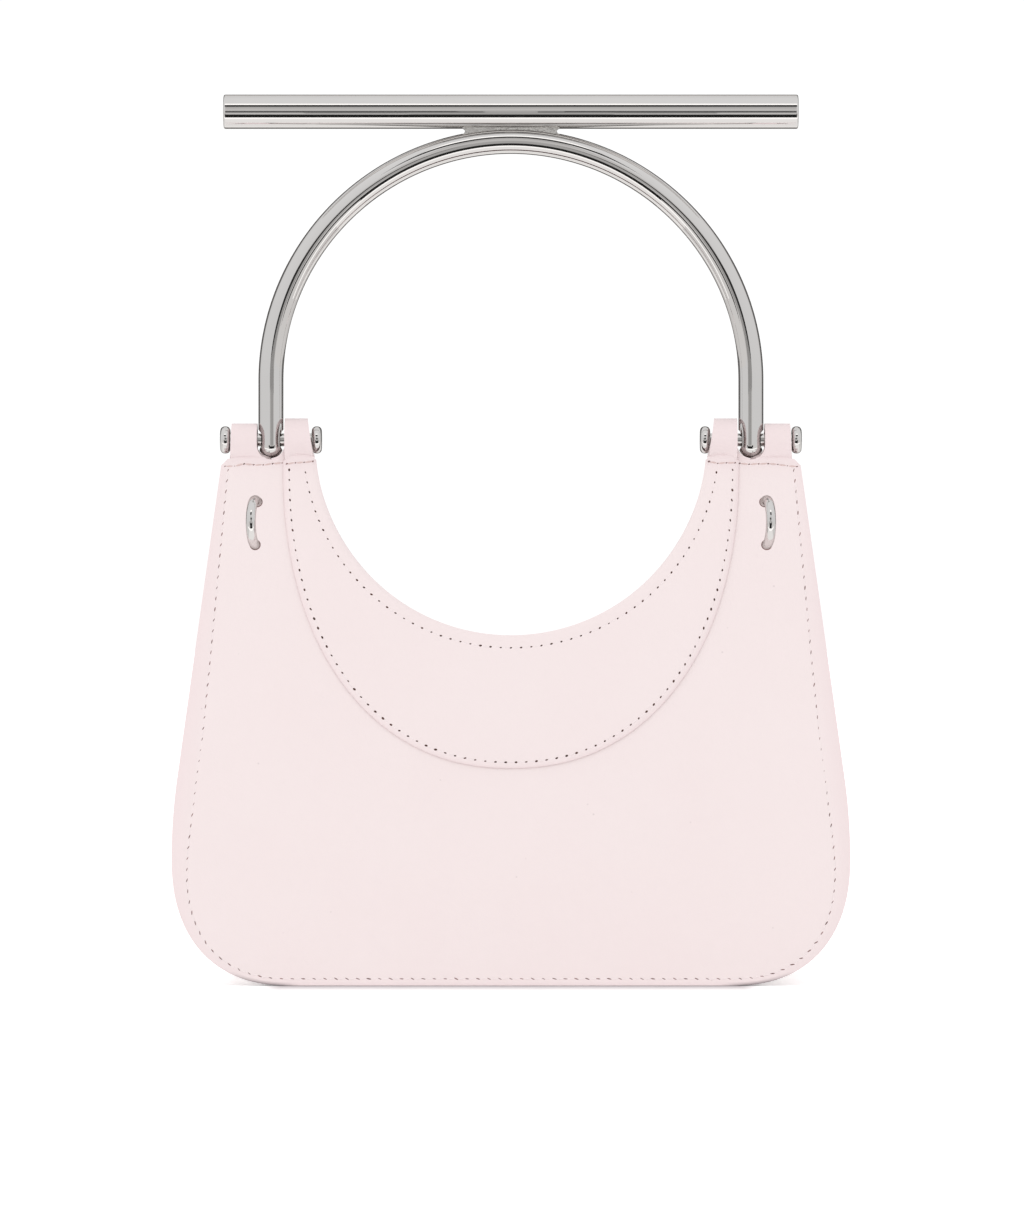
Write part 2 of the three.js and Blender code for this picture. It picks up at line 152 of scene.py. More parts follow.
# Steps of a loop: over the pin, down to its tail and along the tail
OVER_STEPS, DOWN_STEPS, TAIL_STEPS = 16, 6, 3
# Steps across the gusset, and quarter millimetres along a panel's edge where its top is looked for
FLANGE_STEPS, BEND_STEPS, STRIP_STEPS = 6, 7, 16
GUSSET_SEARCH = range(4, 80)
# Steps of the arch, angle in degrees where its round foot starts, and steps of a staple
FOOT_STEPS, LEG_STEPS, ARCH_STEPS, FOOT_START = 14, 30, 70, 86
STAPLE_LEG_STEPS, STAPLE_STEPS = 4, 36
# Sides of the round metal, and angles in degrees where it has a sharp edge
ROD_SIDES, BAR_SIDES, PIN_SIDES, WIRE_SIDES = 64, 96, 48, 32
BORE_SIDES, HOLLOW_SIDES = 64, 48
# A foot's cutter reaches this many times the rod's radius from its middle
CUT_REACH = 2.2
CUT_ANGLE, TURNED_ANGLE = 30, 40
# Gap to the loop of edges that keeps the bar straight beside its rounded ends, and rounding of the weld
BAR_SUPPORT = 0.15 * MM
WELD_ROUND, WELD_PLAY = 0.5 * MM, 0.1 * MM

# World: white, its strength for the camera, and the greys in the metal by the height they come from
WHITE, SEEN_WHITE = (1, 1, 1, 1), 1.05
GREY_HEIGHTS, GREYS = (-0.1, 0.9), (0.73, 0.83)
FLOOR_WIDTH = 30
# Contact shadow: how far it lies past the base, how far it fades, and how much faster it fades sideways
CONTACT_PAST, CONTACT_FADE, CONTACT_SIDEWAYS = 2 * MM, 27 * MM, 4.0
# Way of the key light's rays, its softness in degrees and its tint, which the cards have too
KEY_WAY, KEY_ANGLE, KEY_TINT = (0.42, 0.62, -0.8), 90, (1.0, 0.985, 0.97)
# Cards in the metal's reflections: distances of the far and the near ones, and heights of the lying ones
FAR_CARD, NEAR_CARD = 2.2, 0.334
LOW_CARD, HIGH_CARD = 0.002, 0.003
# Names, half widths, distances and brightness of lying cards, where None is the black of that side
FLOOR_CARDS = (("floor_white", 0.5, 0.17, 0.25, 1.3), ("floor_black", 0.15, 0.25, NEAR_CARD, None))
# Names, places across, heights and brightness of standing cards
FAR_CARDS = (
    ("grey", (-0.26, 0.26), (0, 0.43), 0.5),
    ("grey_pale", (-0.26, 0.26), (0.43, 0.8), 0.63),
    ("grey_middle", (-0.26, 0.26), (0.8, 1.12), 0.56),
    ("grey_deep", (-0.26, 0.26), (1.12, 1.44), 0.48),
    ("dark", (-0.75, 0.75), (1.44, 2.2), 0.05),
    ("white", (-0.75, 0.75), (2.2, 2.96), 1.4),
)
NEAR_CARDS = (
    ("strip_black", (-0.15, 0.15), (HIGH_CARD, 0.06), None),
    ("strip_wide", (-0.1125, 0.1125), (0.06, 0.1), None),
    ("strip_grey", (-0.035, 0.035), (0.1, 0.178), 0.45),
    ("strip_upper", (-0.1125, 0.1125), (0.236, 0.26), 0.6),
    ("strip_middle", (-0.009, 0.009), (0.178, 0.236), 0.45),
)
SIDE_CARDS = (
    ("black", (0.1125, 0.18), (0.05, 0.14), None),
    ("olive", (0.035, 0.1125), (0.1, 0.142), 0.66),
    ("leg", (0.035, 0.07), (0.142, 0.178), 0.3),
    ("pale", (0.07, 0.1125), (0.142, 0.178), 0.6),
    ("fade", (0.009, 0.018), (0.178, 0.236), 0.2),
    ("soft", (0.018, 0.1125), (0.178, 0.19), 0.35),
    ("line", (0.018, 0.1125), (0.19, 0.236), 0.03),
)


def length(name, description, default):
    """A size in metres."""
    return FloatProperty(name=name, description=description, default=default, precision=5, unit="LENGTH")


def share(name, description, default):
    return FloatProperty(name=name, description=description, default=default, min=0.0, precision=3)


def colour(name, description, default):
    return FloatVectorProperty(
        name=name, description=description, default=default, min=0.0, max=1.0, size=3, subtype="COLOR"
    )


class ToteBody(PropertyGroup):
    """Shape of the two panels and the gusset."""

    half_width: length("Half width", "Half of the bag's width at its hips", PANEL_BOX[1].x)
    widest: length("Widest height", "Height where the bag is widest", 35.8 * MM)
    hip_radius: length("Hip radius", "Arc between the straight side and the widest height", 159 * MM)
    base_half: length("Base half", "Half of the straight bottom edge", 60.7 * MM)
    corner_power: share("Corner power", "2 is an elliptic lower corner, more is squarer", 2.34)
    seam_half: length("Seam half", "Outer end of the seam under the loops", 80.8 * MM)
    seam: length("Seam height", "Height of the seam at its outer end", 143.6 * MM)
    seam_rise: share("Seam rise", "How much the seam climbs towards the middle, per width", 0.036)
    top_half: length("Top half", "Outer end of the upper edge between the loops", 79 * MM)
    top: length("Top height", "Height of the panels' upper edge", PANEL_BOX[1].z)
    depth: length("Depth", "Front to back along the base", 62 * MM)
    pinch: length("Pinch", "Middle plane to the inside of a panel above the seam", 1.7 * MM)
    bulge: length("Bulge", "How far the middle of a panel swells out", 3 * MM)
    side_bulge: share("Side bulge", "Share of the bulge left at the widest sides", 0.4)
    panel: length("Panel leather", "Thickness of the panels", 1.8 * MM)
    edge_roll: length("Edge roll", "How far a panel's sewn edge turns in where it is widest", 0.55 * MM)
    base: length("Base lift", "Middle of the lower edges, whose slanted rims reach the floor", 0.15 * MM)


class ToteYoke(PropertyGroup):
    """Scooped mouth and the crescent of leather below it."""

    scoop: length("Scoop radius", "Radius of the mouth, centred at the height of the pins", 55 * MM)
    half: length("Half width", "Half of the yoke's width", 63.3 * MM)
    drop: length("Drop", "Depth of the yoke's round lower edge", 84.95 * MM)
    shoulder: length("Shoulder height", "Height where the yoke's lower edge starts to turn in", 144.8 * MM)
    power: share("Edge power", "2 is an elliptic lower edge, more is squarer", 2.2)
    lift: length("Lift", "Gap between the yoke and the panel", 0.02 * MM)
    leather: length("Yoke leather", "Thickness of the yoke", 1.1 * MM)
    edge_roll: length("Edge roll", "How far the yoke's edges turn down", 0.6 * MM)


class ToteGusset(PropertyGroup):
    """Strip that joins the two panels."""

    leather: length("Gusset leather", "Thickness of the gusset", 1.2 * MM)
    gap: length("Gap", "Between a flange and its panel", 0.3 * MM)
    top: length("Top height", "Where the strip ends under the handle", 139.8 * MM)
    edge_inset: length("Edge inset", "A panel's edge to the flange's edge", 0.5 * MM)
    past_stitch: length("Past the stitches", "The stitches to the strip between the flanges", 1.7 * MM)
    bend: length("Bend radius", "Bend between a flange and the strip", 1.6 * MM)
    least: share("Least share", "Share of the half width left where the bends nearly meet", 0.15)
    sag: length("Sag", "How far the sides fall in", 2.5 * MM)


class ToteStitches(PropertyGroup):
    """Rows of tonal thread."""

    yoke_pitch: length("Yoke pitch", "From one needle hole to the next on the yoke", 2.84 * MM)
    outer_pitch: length("Outer pitch", "From one needle hole to the next along the outer edges", 3.0 * MM)
    thread: length("Thread radius", "Half of the thread's thickness", 0.24 * MM)
    yoke_hole: length("Yoke hole", "Half of the length of a needle hole on the yoke", 0.47 * MM)
    outer_hole: length("Outer hole", "Half of the length of a needle slit along the outer edges", 0.72 * MM)
    groove: length("Groove depth", "How deep the thread pulls into the leather", 0.12 * MM)
    groove_half: length("Groove half width", "Half of the width of the pulled-in groove", 0.85 * MM)
    scoop_inset: length("Scoop inset", "The mouth's edge to its row of stitches", 3.1 * MM)
    yoke_inset: length("Yoke inset", "The yoke's lower edge to its row of stitches", 1.4 * MM)
    seed: IntProperty(name="Seed", description="Seed of the stitches' small unevenness", default=7)


class ToteLoops(PropertyGroup):
    """Leather loops that hold the hinge pins."""

    panel_from: length("Panel loop start", "Inner side of the loops that grow from the panel", 71.0 * MM)
    panel_width: length("Panel loop width", "Width of the loops that grow from the panel", 7.25 * MM)
    yoke_from: length("Yoke loop start", "Inner side of the loops that grow from the yoke", 56.05 * MM)
    yoke_width: length("Yoke loop width", "Width of the loops that grow from the yoke", 7.2 * MM)
    play: length("Play", "A pin to the inside of the panel's loops", 1.0 * MM)
    yoke_radius: length("Yoke loop radius", "Outside of the loops that grow from the yoke", 6.03 * MM)
    tail_y: length("Tail place", "Where the tails lie between the panels", 0.5 * MM)
    tail_top: length("Tail top", "Height where a tail starts", 146.2 * MM)
    tail_end: length("Tail end", "Height where a tail ends", 140.6 * MM)
    crease: length("Crease", "Depth of the fold across the foot of a loop", 1.0 * MM)
    notch: length("Notch gap", "A foot of the handle to the bottom of its notch", 0.12 * MM)
    flare: length("Flare", "How much wider a loop's free side is at its foot than at its top", 1.9 * MM)


class ToteHandle(PropertyGroup):
    """Arch, cross bar and weld of the handle."""

    leg_x: length("Leg place", "Middle plane to the middle of a leg", 67.2 * MM)
    tube: length("Tube radius", "Radius of the arch's rod", 3.5 * MM)
    foot: length("Foot height", "Lowest point of a foot", 145.8 * MM)
    arch: length("Arch start", "Height where the straight legs end", 167.7 * MM)
    arch_top: length("Arch top", "Middle of the rod at the top of the arch", 234.5 * MM)
    arch_power: share("Arch power", "2 is an elliptic arch, more is squarer", 1.99)
    bar: length("Bar height", "Height of the cross bar's axis", 242.8 * MM)
    bar_radius: length("Bar radius", "Radius of the cross bar", 4.79 * MM)
    bar_half: length("Bar half", "Half of the cross bar's length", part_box("handle")[1].x)
    bar_round: length("Bar rounding", "Rounding of the bar's ends", 0.5 * MM)
    weld_width: length("Weld width", "Width of the web between bar and arch", 27.4 * MM)
    weld_thick: length("Weld thickness", "Thickness of the web, front to back", 3 * MM)
    spot_radius: length("Spot radius", "Radius of the flats round a foot's bore", 2.9 * MM)
    spot: length("Spot place", "A leg's middle to its flats", 2.65 * MM)
    bore: length("Bore radius", "Radius of the hole for the pin", 2.1 * MM)


class TotePins(PropertyGroup):
    """Hinge pins and the staples for a strap."""

    height: length("Pin height", "Height of the hinge's axis", HINGE["pos_m"][2])
    radius: length("Pin radius", "Radius of the pins", 1.8 * MM)
    inner: length("Inner head", "Where the inner head starts", 55.75 * MM)
    outer: length("Outer head", "Where the outer head starts", 78.55 * MM)
    head_radius: length("Head radius", "Radius of the heads", 3.8 * MM)
    head_thick: length("Head thickness", "Thickness of the heads", 2.8 * MM)
    head_round: length("Head rounding", "Rounding of the heads' rims", 1.2 * MM)
    staple_x: length("Staple place", "Middle plane to a staple", 71 * MM)
    staple_z: length("Staple height", "Height of a staple's middle", 127.4 * MM)
    staple_wire: length("Staple wire", "Radius of the staples' wire", 1.38 * MM)
    staple_half: length("Staple half", "Half of the distance between a staple's legs", 6.15 * MM)
    staple_straight: length("Staple legs", "Straight part of the legs in front of the leather", 1.4 * MM)
    staple_behind: length("Staple ends", "How far the legs stand out behind the leather", 0.7 * MM)
    staple_lean: FloatProperty(
        name="Staple lean",
        description="How far a staple leans towards the bag's side",
        default=math.radians(9),
        subtype="ANGLE",
    )


class ToteColours(PropertyGroup):
    """Colours of the leather, thread, metal and stage."""

    leather: colour("Leather", "Grain side of the leather", (0.842, 0.742, 0.740))
    leather_deep: colour("Leather shade", "Darker mottling of the grain side", (0.815, 0.70, 0.70))
    leather_edge: colour("Leather edge", "Grain side along the edges and on the loops", (0.82, 0.70, 0.705))
    flesh: colour("Flesh side", "Inside of the bag", (0.71, 0.59, 0.575))
    edge: colour("Edge paint", "Painted cut edges", (0.70, 0.585, 0.585))
    # Painted shade: this dark colour on the lower corners' cut edge stands in for the shade where the edge
    # turns under towards the floor
    scuff: colour("Scuffed edge", "Cut edge of the lower corners", (0.21, 0.175, 0.185))
    thread: colour("Thread", "Tonal thread", (0.90, 0.80, 0.80))
    seam: colour("Seam thread", "Thread of the seams under the loops", (0.72, 0.55, 0.525))
    hole: colour("Needle hole", "Shade inside the needle holes", (0.062, 0.033, 0.028))
    slit: colour("Needle slit", "Shade inside the slits along the outer edges", (0.165, 0.102, 0.099))
    plating: colour("Plating", "Polished metal", (0.80, 0.785, 0.775))
    grazing: colour("Grazing plating", "Tint of the polished metal at a glancing angle", (0.45, 0.43, 0.42))
    weld: colour("Weld", "Grainy metal of the weld", (0.78, 0.76, 0.735))
    floor: colour("Floor", "Studio floor", (0.96, 0.96, 0.96))
    contact: colour("Contact shadow", "Floor close under the bag", (0.55, 0.51, 0.525))


class ToteStage(PropertyGroup):
    """Camera, light and floor."""

    distance: length("Camera distance", "Camera to the middle plane of the bag", 1.6)
    camera_x: length("Camera side", "How far the camera stands to the right", 0.3 * MM)
    camera_z: length("Camera height", "Height of the camera, which looks level", 101.6 * MM)
    lens: FloatProperty(
        name="Lens", description="Focal length of the camera", default=166.96, unit="CAMERA"
    )
    ambient: share("Ambient light", "Strength of the even white light all round", 1.015)
    key: share("Key light", "Strength of the soft key light", 0.36)
    floor_glow: share("Floor glow", "How much the floor shines by itself", 0.35)


class ToteSettings(PropertyGroup):
    """Everything that a user may change."""

    body: PointerProperty(type=ToteBody)
    yoke: PointerProperty(type=ToteYoke)
    gusset: PointerProperty(type=ToteGusset)
    stitches: PointerProperty(type=ToteStitches)
    loops: PointerProperty(type=ToteLoops)
    handle: PointerProperty(type=ToteHandle)
    pins: PointerProperty(type=TotePins)
    colours: PointerProperty(type=ToteColours)
    stage: PointerProperty(type=ToteStage)


# Flat shapes in the XZ plane, as two-dimensional points


def mix(a, b, part):
    return a + (b - a) * part


def fading(value, start, end):
    """Part of the way from a start to an end, never less than 0 or more than 1."""
    return min(max((value - start) / (end - start), 0), 1)


def eased(part):
    """A part of the way that starts and ends slowly."""
    return part * part * (3 - 2 * part)


def parts(count):
    """Numbers from 0 to 1 in equal steps."""
    return [k / count for k in range(count + 1)]


def on_circle(radius, angle):
    return Vector((radius * math.cos(angle), radius * math.sin(angle)))


def powered(value, power):
    return math.copysign(abs(value) ** (2 / power), value)


class Line:
    """A line through flat points that gives places by their distance from its start."""

    REACH = 3 * MM

    def __init__(self, points):
        self.points = [points[0]]
        self.marks = [0.0]
        for point in points[1:]:
            step = (point - self.points[-1]).length
            if step > 1e-7:
                self.points.append(point)
                self.marks.append(self.marks[-1] + step)
        self.length = self.marks[-1]

    def at(self, distance):
        leg = bisect.bisect_right(self.marks, distance) - 1
        leg = min(max(leg, 0), len(self.points) - 2)
        part = (distance - self.marks[leg]) / (self.marks[leg + 1] - self.marks[leg])
        return self.points[leg].lerp(self.points[leg + 1], part)

    def inwards(self, distance):
        """Unit direction to the right of the way along the line, evened out over a short reach."""
        before = self.at(max(distance - self.REACH, 0))
        after = self.at(min(distance + self.REACH, self.length))
        along = (after - before).normalized()
        return Vector((along.y, -along.x))

    def inset(self, depth_at):
        """The line moved inwards by a depth that depends on the height."""
        count = math.ceil(self.length / MM)
        moved = []
        for part in parts(count):
            point = self.at(part * self.length)
            moved.append(point + self.inwards(part * self.length) * depth_at(point.y))
        return Line(moved)


def panel_edge(body):
    """Right half of a panel's outline, from the upper edge down to the middle of the base."""
    hip = Vector((body.half_width - body.hip_radius, body.widest))
    seam = Vector((body.seam_half, body.seam))
    to_seam = seam - hip
    hip_angle = math.atan2(to_seam.y, to_seam.x) - math.acos(body.hip_radius / to_seam.length)
    points = [Vector((body.top_half, body.top)), seam]
    for part in parts(HIP_STEPS):
        points.append(hip + on_circle(body.hip_radius, hip_angle * (1 - part)))
    for part in parts(CORNER_STEPS)[1:]:
        angle = part * math.pi / 2
        across = powered(math.cos(angle), body.corner_power)
        down = powered(math.sin(angle), body.corner_power)
        x = mix(body.base_half, body.half_width, across)
        points.append(Vector((x, mix(body.widest, body.base, down))))
    points.append(Vector((0, body.base)))
    return Line(points)


def yoke_edge(tote):
    """Right half of the yoke's lower edge, from the upper edge down to the middle."""
    yoke = tote.yoke
    points = [Vector((yoke.half, tote.body.top))]
    for part in parts(CRESCENT_STEPS):
        angle = part * math.pi / 2
        across = powered(max(math.cos(angle), 0), yoke.power)
        down = powered(math.sin(angle), yoke.power)
        points.append(Vector((yoke.half * across, yoke.shoulder - yoke.drop * down)))
    return Line(points)


def scoop_point(tote, part):
    """A point on the right half of the mouth, by the part of the way down from the upper edge."""
    radius = tote.yoke.scoop
    start = math.asin((tote.body.top - tote.pins.height) / radius)
    return on_circle(radius, mix(start, -math.pi / 2, part)) + Vector((0, tote.pins.height))


def seam_height(body, x):
    return body.seam + (body.seam_half - abs(x)) * body.seam_rise


def stitch_inset(z):
    """How far the outer row of stitches lies inside the panel's edge at a height."""
    heights = [row[0] * MM for row in STITCH_INSET]
    after = bisect.bisect_right(heights, z)
    if after == 0:
        return STITCH_INSET[0][1] * MM
    if after == len(heights):
        return STITCH_INSET[-1][1] * MM
    part = (z - heights[after - 1]) / (heights[after] - heights[after - 1])
    return mix(STITCH_INSET[after - 1][1], STITCH_INSET[after][1], part) * MM


def inside_of_panel(body, x, z):
    """Middle plane to the inside of a panel, a wedge that is pinched at the seam and swells in the middle."""
    down = max(1 - z / body.seam, 0)
    wedge = mix(body.pinch, body.depth / 2 - body.panel, down)
    swell = 4 * down * (1 - down)
    sideways = 1 - (1 - body.side_bulge) * (x / body.half_width) ** 2
    return wedge + body.bulge * swell * sideways


def dent(distance, half_width):
    """Depth of a groove beside its middle line, from 1 down to 0."""
    return math.exp(-((distance / half_width) ** 2))


def turned_edge(from_edge, reach):
    """How far an edge is turned in, from 1 at the edge down to 0."""
    return max(1 - from_edge / reach, 0) ** 2


def panel_turn(body, from_edge, inset):
    """How far a panel's sewn edge is turned in, less where its stitches lie closer to the edge."""
    return body.edge_roll * turned_edge(from_edge, inset) * inset / FULL_ROLL_INSET


def face_spot(body, x, z, above, side, facing=1):
    """A point on a leather face and the direction that the face looks in."""
    step = 0.5 * MM
    here = inside_of_panel(body, x, z)
    slope_x = (inside_of_panel(body, x + step, z) - here) / step
    slope_z = (inside_of_panel(body, x, z + step) - here) / step
    normal = Vector((-slope_x, side, -slope_z)).normalized() * facing
    return Vector((x, side * (here + above), z)), normal


# Meshes


def sheet_from_rows(rows):
    """A grid whose lines go through rows of points, and its vertices by row and place in the row."""
    bm = bmesh.new()
    bm.verts.layers.float.new(SHADE)
    # Layer for the painted shade along the lower corners' cut edge
    bm.verts.layers.float.new(CORNER_SHADE)
    last_row = len(rows) - 1
    last_place = len(rows[0]) - 1
    bmesh.ops.create_grid(bm, x_segments=last_row, y_segments=last_place, size=1)
    verts = {}
    for vert in bm.verts:
        row = round((vert.co.x + 1) / 2 * last_row)
        place = round((vert.co.y + 1) / 2 * last_place)
        vert.co = rows[row][place]
        verts[row, place] = vert
    return bm, verts


def shade_verts(bm, verts, name, shade_at):
    """Writes a shade of the leather at each vertex of a sheet, which its loops copy."""
    layer = bm.verts.layers.float[name]
    for (row, place), vert in verts.items():
        vert[layer] = shade_at(row, place)


def face_towards(bm, verts, direction):
    """Makes a sheet's faces agree, and turns them to look in a direction at its middle."""
    bmesh.ops.recalc_face_normals(bm, faces=bm.faces[:])
    bm.normal_update()
    last_row, last_place = max(verts)
    if verts[last_row // 2, last_place // 2].normal.dot(direction) < 0:
        bmesh.ops.reverse_faces(bm, faces=bm.faces[:])


def grow_edges(bm, edges):
    """Extrudes edges, and gives the new vertices and the new edges between them."""
    grown = bmesh.ops.extrude_edge_only(bm, edges=edges)["geom"]
    verts = [item for item in grown if isinstance(item, bmesh.types.BMVert)]
    fresh = set(verts)
    edges = [item for item in grown if isinstance(item, bmesh.types.BMEdge) and fresh.issuperset(item.verts)]
    return verts, edges


def extend(bm, edges, places):
    """Pulls a row of edges through places: each is called with a vertex's part of the way along the row."""
    ends = {vert for edge in edges for vert in edge.verts}
    low = min(vert.co.x for vert in ends)
    high = max(vert.co.x for vert in ends)
    share_of = {vert: (vert.co.x - low) / (high - low) for vert in ends}
    for place in places:
        verts, edges = grow_edges(bm, edges)
        moved = {}
        for vert in verts:
            old = min(share_of, key=lambda other: (other.co - vert.co).length)
            moved[vert] = share_of[old]
        for vert, part in moved.items():
            vert.co = place(part)
        share_of = moved


def turned_to(x, y, z):
    """The turn that takes the axes to three directions."""
    return Matrix((x, y, z)).transposed().to_4x4()


def sweep(bm, stops, binormal, sides):
    """A round rod through stops of (centre, direction, radius) in a plane, with closed ends."""
    ring = bmesh.ops.create_circle(bm, segments=sides, radius=1)["verts"]
    edges = bm.edges[:]
    first_edges = edges
    before = Matrix.Identity(4)
    for number, (centre, along, radius) in enumerate(stops):
        turn = turned_to(binormal.cross(along), binormal, along)
        after = Matrix.Translation(centre) @ turn @ Matrix.Diagonal((radius, radius, radius, 1))
        if number:
            ring, edges = grow_edges(bm, edges)
        bmesh.ops.transform(bm, matrix=after @ before.inverted(), verts=ring)
        before = after
    bmesh.ops.edgeloop_fill(bm, edges=first_edges)
    bmesh.ops.edgeloop_fill(bm, edges=edges)
    bmesh.ops.recalc_face_normals(bm, faces=bm.faces[:])


def rod_stops(path):
    """Stops of (centre, direction, radius) for a rod along a path of (centre, radius)."""
    stops = []
    for number, (centre, radius) in enumerate(path):
        before = path[max(number - 1, 0)][0]
        after = path[min(number + 1, len(path) - 1)][0]
        stops.append((centre, (after - before).normalized(), radius))
    return stops


def turn_on_x(profile, centre, sides):
    """A turned piece along X, from a profile of (x, radius) that starts and ends on the axis."""
    bm = bmesh.new()
    verts = [bm.verts.new((x, 0, radius)) for x, radius in profile]
    edges = [bm.edges.new(pair) for pair in zip(verts, verts[1:])]
    bmesh.ops.spin(
        bm,
        geom=verts + edges,
        cent=(0, 0, 0),
        axis=(1, 0, 0),
        angle=2 * math.pi,
        steps=sides,
        use_merge=True,
        use_duplicate=False,
    )
    bmesh.ops.remove_doubles(bm, verts=bm.verts[:], dist=1e-6)
    bmesh.ops.translate(bm, verts=bm.verts[:], vec=centre)
    bmesh.ops.recalc_face_normals(bm, faces=bm.faces[:])
    return bm


def rounded(x, radius, size, way, steps=5):
    """Profile points of a rounded rim at x that faces along `way`, from the rim's outside to its face."""
    points = []
    for part in parts(steps):
        angle = part * math.pi / 2
        points.append((x - way * size * (1 - math.sin(angle)), radius - size * (1 - math.cos(angle))))
    return points


def new_object(name, bm):
    """Makes an object of a bmesh, which is used up."""
    mesh = bpy.data.meshes.new(name)
    bm.to_mesh(mesh)
    bm.free()
    made = bpy.data.objects.new(name, mesh)
    bpy.context.scene.collection.objects.link(made)
    return made


def new_piece(name, bm, materials, body, slot, nodes=()):
    """Makes a smooth-shaded object of a bmesh, on a body of the frame and in place of CAD nodes."""
    for face in bm.faces:
        face.smooth = True
    piece = new_object(name, bm)
    for material in materials:
        piece.data.materials.append(material)
    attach(piece, body)
    if nodes:
        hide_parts(*nodes)
    return piece


def give_thickness(piece, thick, round_edge):
    """Leather walls get their thickness, a flesh side, painted edges and soft rims."""
    wall = piece.modifiers.new("Leather", "SOLIDIFY")
    wall.thickness = thick
    wall.offset = 0
    wall.use_even_offset = True
    wall.use_quality_normals = True
    wall.material_offset = 1
    wall.material_offset_rim = 2
    rim = piece.modifiers.new("Soft edges", "BEVEL")
    rim.width = round_edge
    rim.segments = 3
    rim.limit_method = "ANGLE"
    rim.angle_limit = math.radians(50)
    rim.use_clamp_overlap = True


# Materials


def feed(tree, node, inputs):
    """Puts values or links on a node's inputs."""
    for name, value in inputs.items():
        if isinstance(value, bpy.types.NodeSocket):
            tree.links.new(value, node.inputs[name])
        else:
            node.inputs[name].default_value = value


def add_node(tree, kind, inputs=None, **settings):
    """A node with its settings, and with values or links on its inputs."""
    node = tree.nodes.new(kind)
    for name, value in settings.items():
        setattr(node, name, value)
    feed(tree, node, inputs or {})
    return node


def opaque(rgb, factor=1):
    """A colour as the sockets take it, made darker or paler by a factor."""
    return (*(min(value * factor, 1) for value in rgb), 1.0)


def math_node(tree, operation, first, second=0.0):
    return add_node(tree, "ShaderNodeMath", {0: first, 1: second}, operation=operation).outputs[0]


def blend_colours(tree, factor, first, second):
    node = add_node(tree, "ShaderNodeMix", {0: factor, 6: first, 7: second}, data_type="RGBA")
    return node.outputs[2]


def span_node(tree, value, low, high, to_low, to_high):
    """Maps a value from one range to another, clamped."""
    inputs = {"Value": value, "From Min": low, "From Max": high, "To Min": to_low, "To Max": to_high}
    return add_node(tree, "ShaderNodeMapRange", inputs).outputs["Result"]


def noise(tree, place, scale, detail, roughness=0.5):
    inputs = {"Vector": place, "Scale": scale, "Detail": detail, "Roughness": roughness}
    return add_node(tree, "ShaderNodeTexNoise", inputs).outputs["Fac"]


def attribute(tree, name):
    return add_node(tree, "ShaderNodeAttribute", attribute_name=name).outputs["Fac"]


def bump(tree, height, strength, distance):
    inputs = {"Height": height, "Strength": strength, "Distance": distance}
    return add_node(tree, "ShaderNodeBump", inputs).outputs["Normal"]


def empty_tree(owner):
    """The node tree of a material or a world, with no nodes in it."""
    owner.use_nodes = True
    owner.node_tree.nodes.clear()
    return owner.node_tree


def new_group(name, values, outputs):
    """A shader node group with a place and values as inputs, and its input and output nodes."""
    tree = bpy.data.node_groups.new(name, "ShaderNodeTree")
    tree.interface.new_socket(name="Place", in_out="INPUT", socket_type="NodeSocketVector")
    for label, default in values.items():
        socket = tree.interface.new_socket(name=label, in_out="INPUT", socket_type="NodeSocketFloat")
        socket.default_value = default
    for label in outputs:
        tree.interface.new_socket(name=label, in_out="OUTPUT", socket_type="NodeSocketFloat")
    return tree, tree.nodes.new("NodeGroupInput"), tree.nodes.new("NodeGroupOutput")


def grain_group():
    """Fine grain, sparse pores and broad mottling that every leather side shares."""
    name = "Leather Grain"
    if name in bpy.data.node_groups:
        return bpy.data.node_groups[name]
    tree, given, put = new_group(name, {"Cells": 2300.0, "Mottling": 34.0}, ("Height", "Tone", "Pores"))
    place = given.outputs["Place"]
    cells = add_node(tree, "ShaderNodeTexVoronoi", {"Vector": place, "Scale": given.outputs["Cells"]})
    pebbles = math_node(tree, "MULTIPLY", cells.outputs["Distance"], 0.5)
    creases = noise(tree, place, 620.0, 4.0, 0.6)
    spots = add_node(tree, "ShaderNodeTexVoronoi", {"Vector": place, "Scale": 210.0, "Randomness": 1.0})
    small = span_node(tree, spots.outputs["Distance"], 0.035, 0.075, 1.0, 0.0)
    rare = span_node(tree, noise(tree, place, 95.0, 1.0), 0.58, 0.66, 0.0, 1.0)
    broad = noise(tree, place, given.outputs["Mottling"], 3.0, 0.55)
    found = {
        "Height": math_node(tree, "ADD", pebbles, creases),
        "Tone": span_node(tree, broad, 0.3, 0.7, 0.0, 1.0),
        "Pores": math_node(tree, "MULTIPLY", small, rare),
    }
    feed(tree, put, found)
    return tree


def haze_group():
    """Faint wiping marks on polished metal, as a roughness and a height."""
    name = "Polish Haze"
    if name in bpy.data.node_groups:
        return bpy.data.node_groups[name]
    tree, given, put = new_group(name, {"Low": 0.05, "High": 0.11}, ("Roughness", "Height"))
    place = given.outputs["Place"]
    cloud = noise(tree, place, 60.0, 5.0, 0.65)
    rough = span_node(tree, cloud, 0.35, 0.7, given.outputs["Low"], given.outputs["High"])
    feed(tree, put, {"Roughness": rough, "Height": noise(tree, place, 1500.0, 2.0)})
    return tree


def place_group(tree, group, inputs):
    return add_node(tree, "ShaderNodeGroup", inputs, node_tree=group).outputs


def new_material(name):
    """A material, its tree, Principled shader and object coordinates, with no tree if it was made before."""
    if name in bpy.data.materials:
        return bpy.data.materials[name], None, None, None
    material = bpy.data.materials.new(name)
    tree = empty_tree(material)
    shader = tree.nodes.new("ShaderNodeBsdfPrincipled")
    add_node(tree, "ShaderNodeOutputMaterial", {"Surface": shader.outputs["BSDF"]})
    place = tree.nodes.new("ShaderNodeTexCoord").outputs["Object"]
    return material, tree, shader, place


def with_corner_shade(tree, colours, tone):
    """A leather colour with painted shade along the cut edge of the lower corners."""
    return blend_colours(tree, attribute(tree, CORNER_SHADE), tone, opaque(colours.scuff))


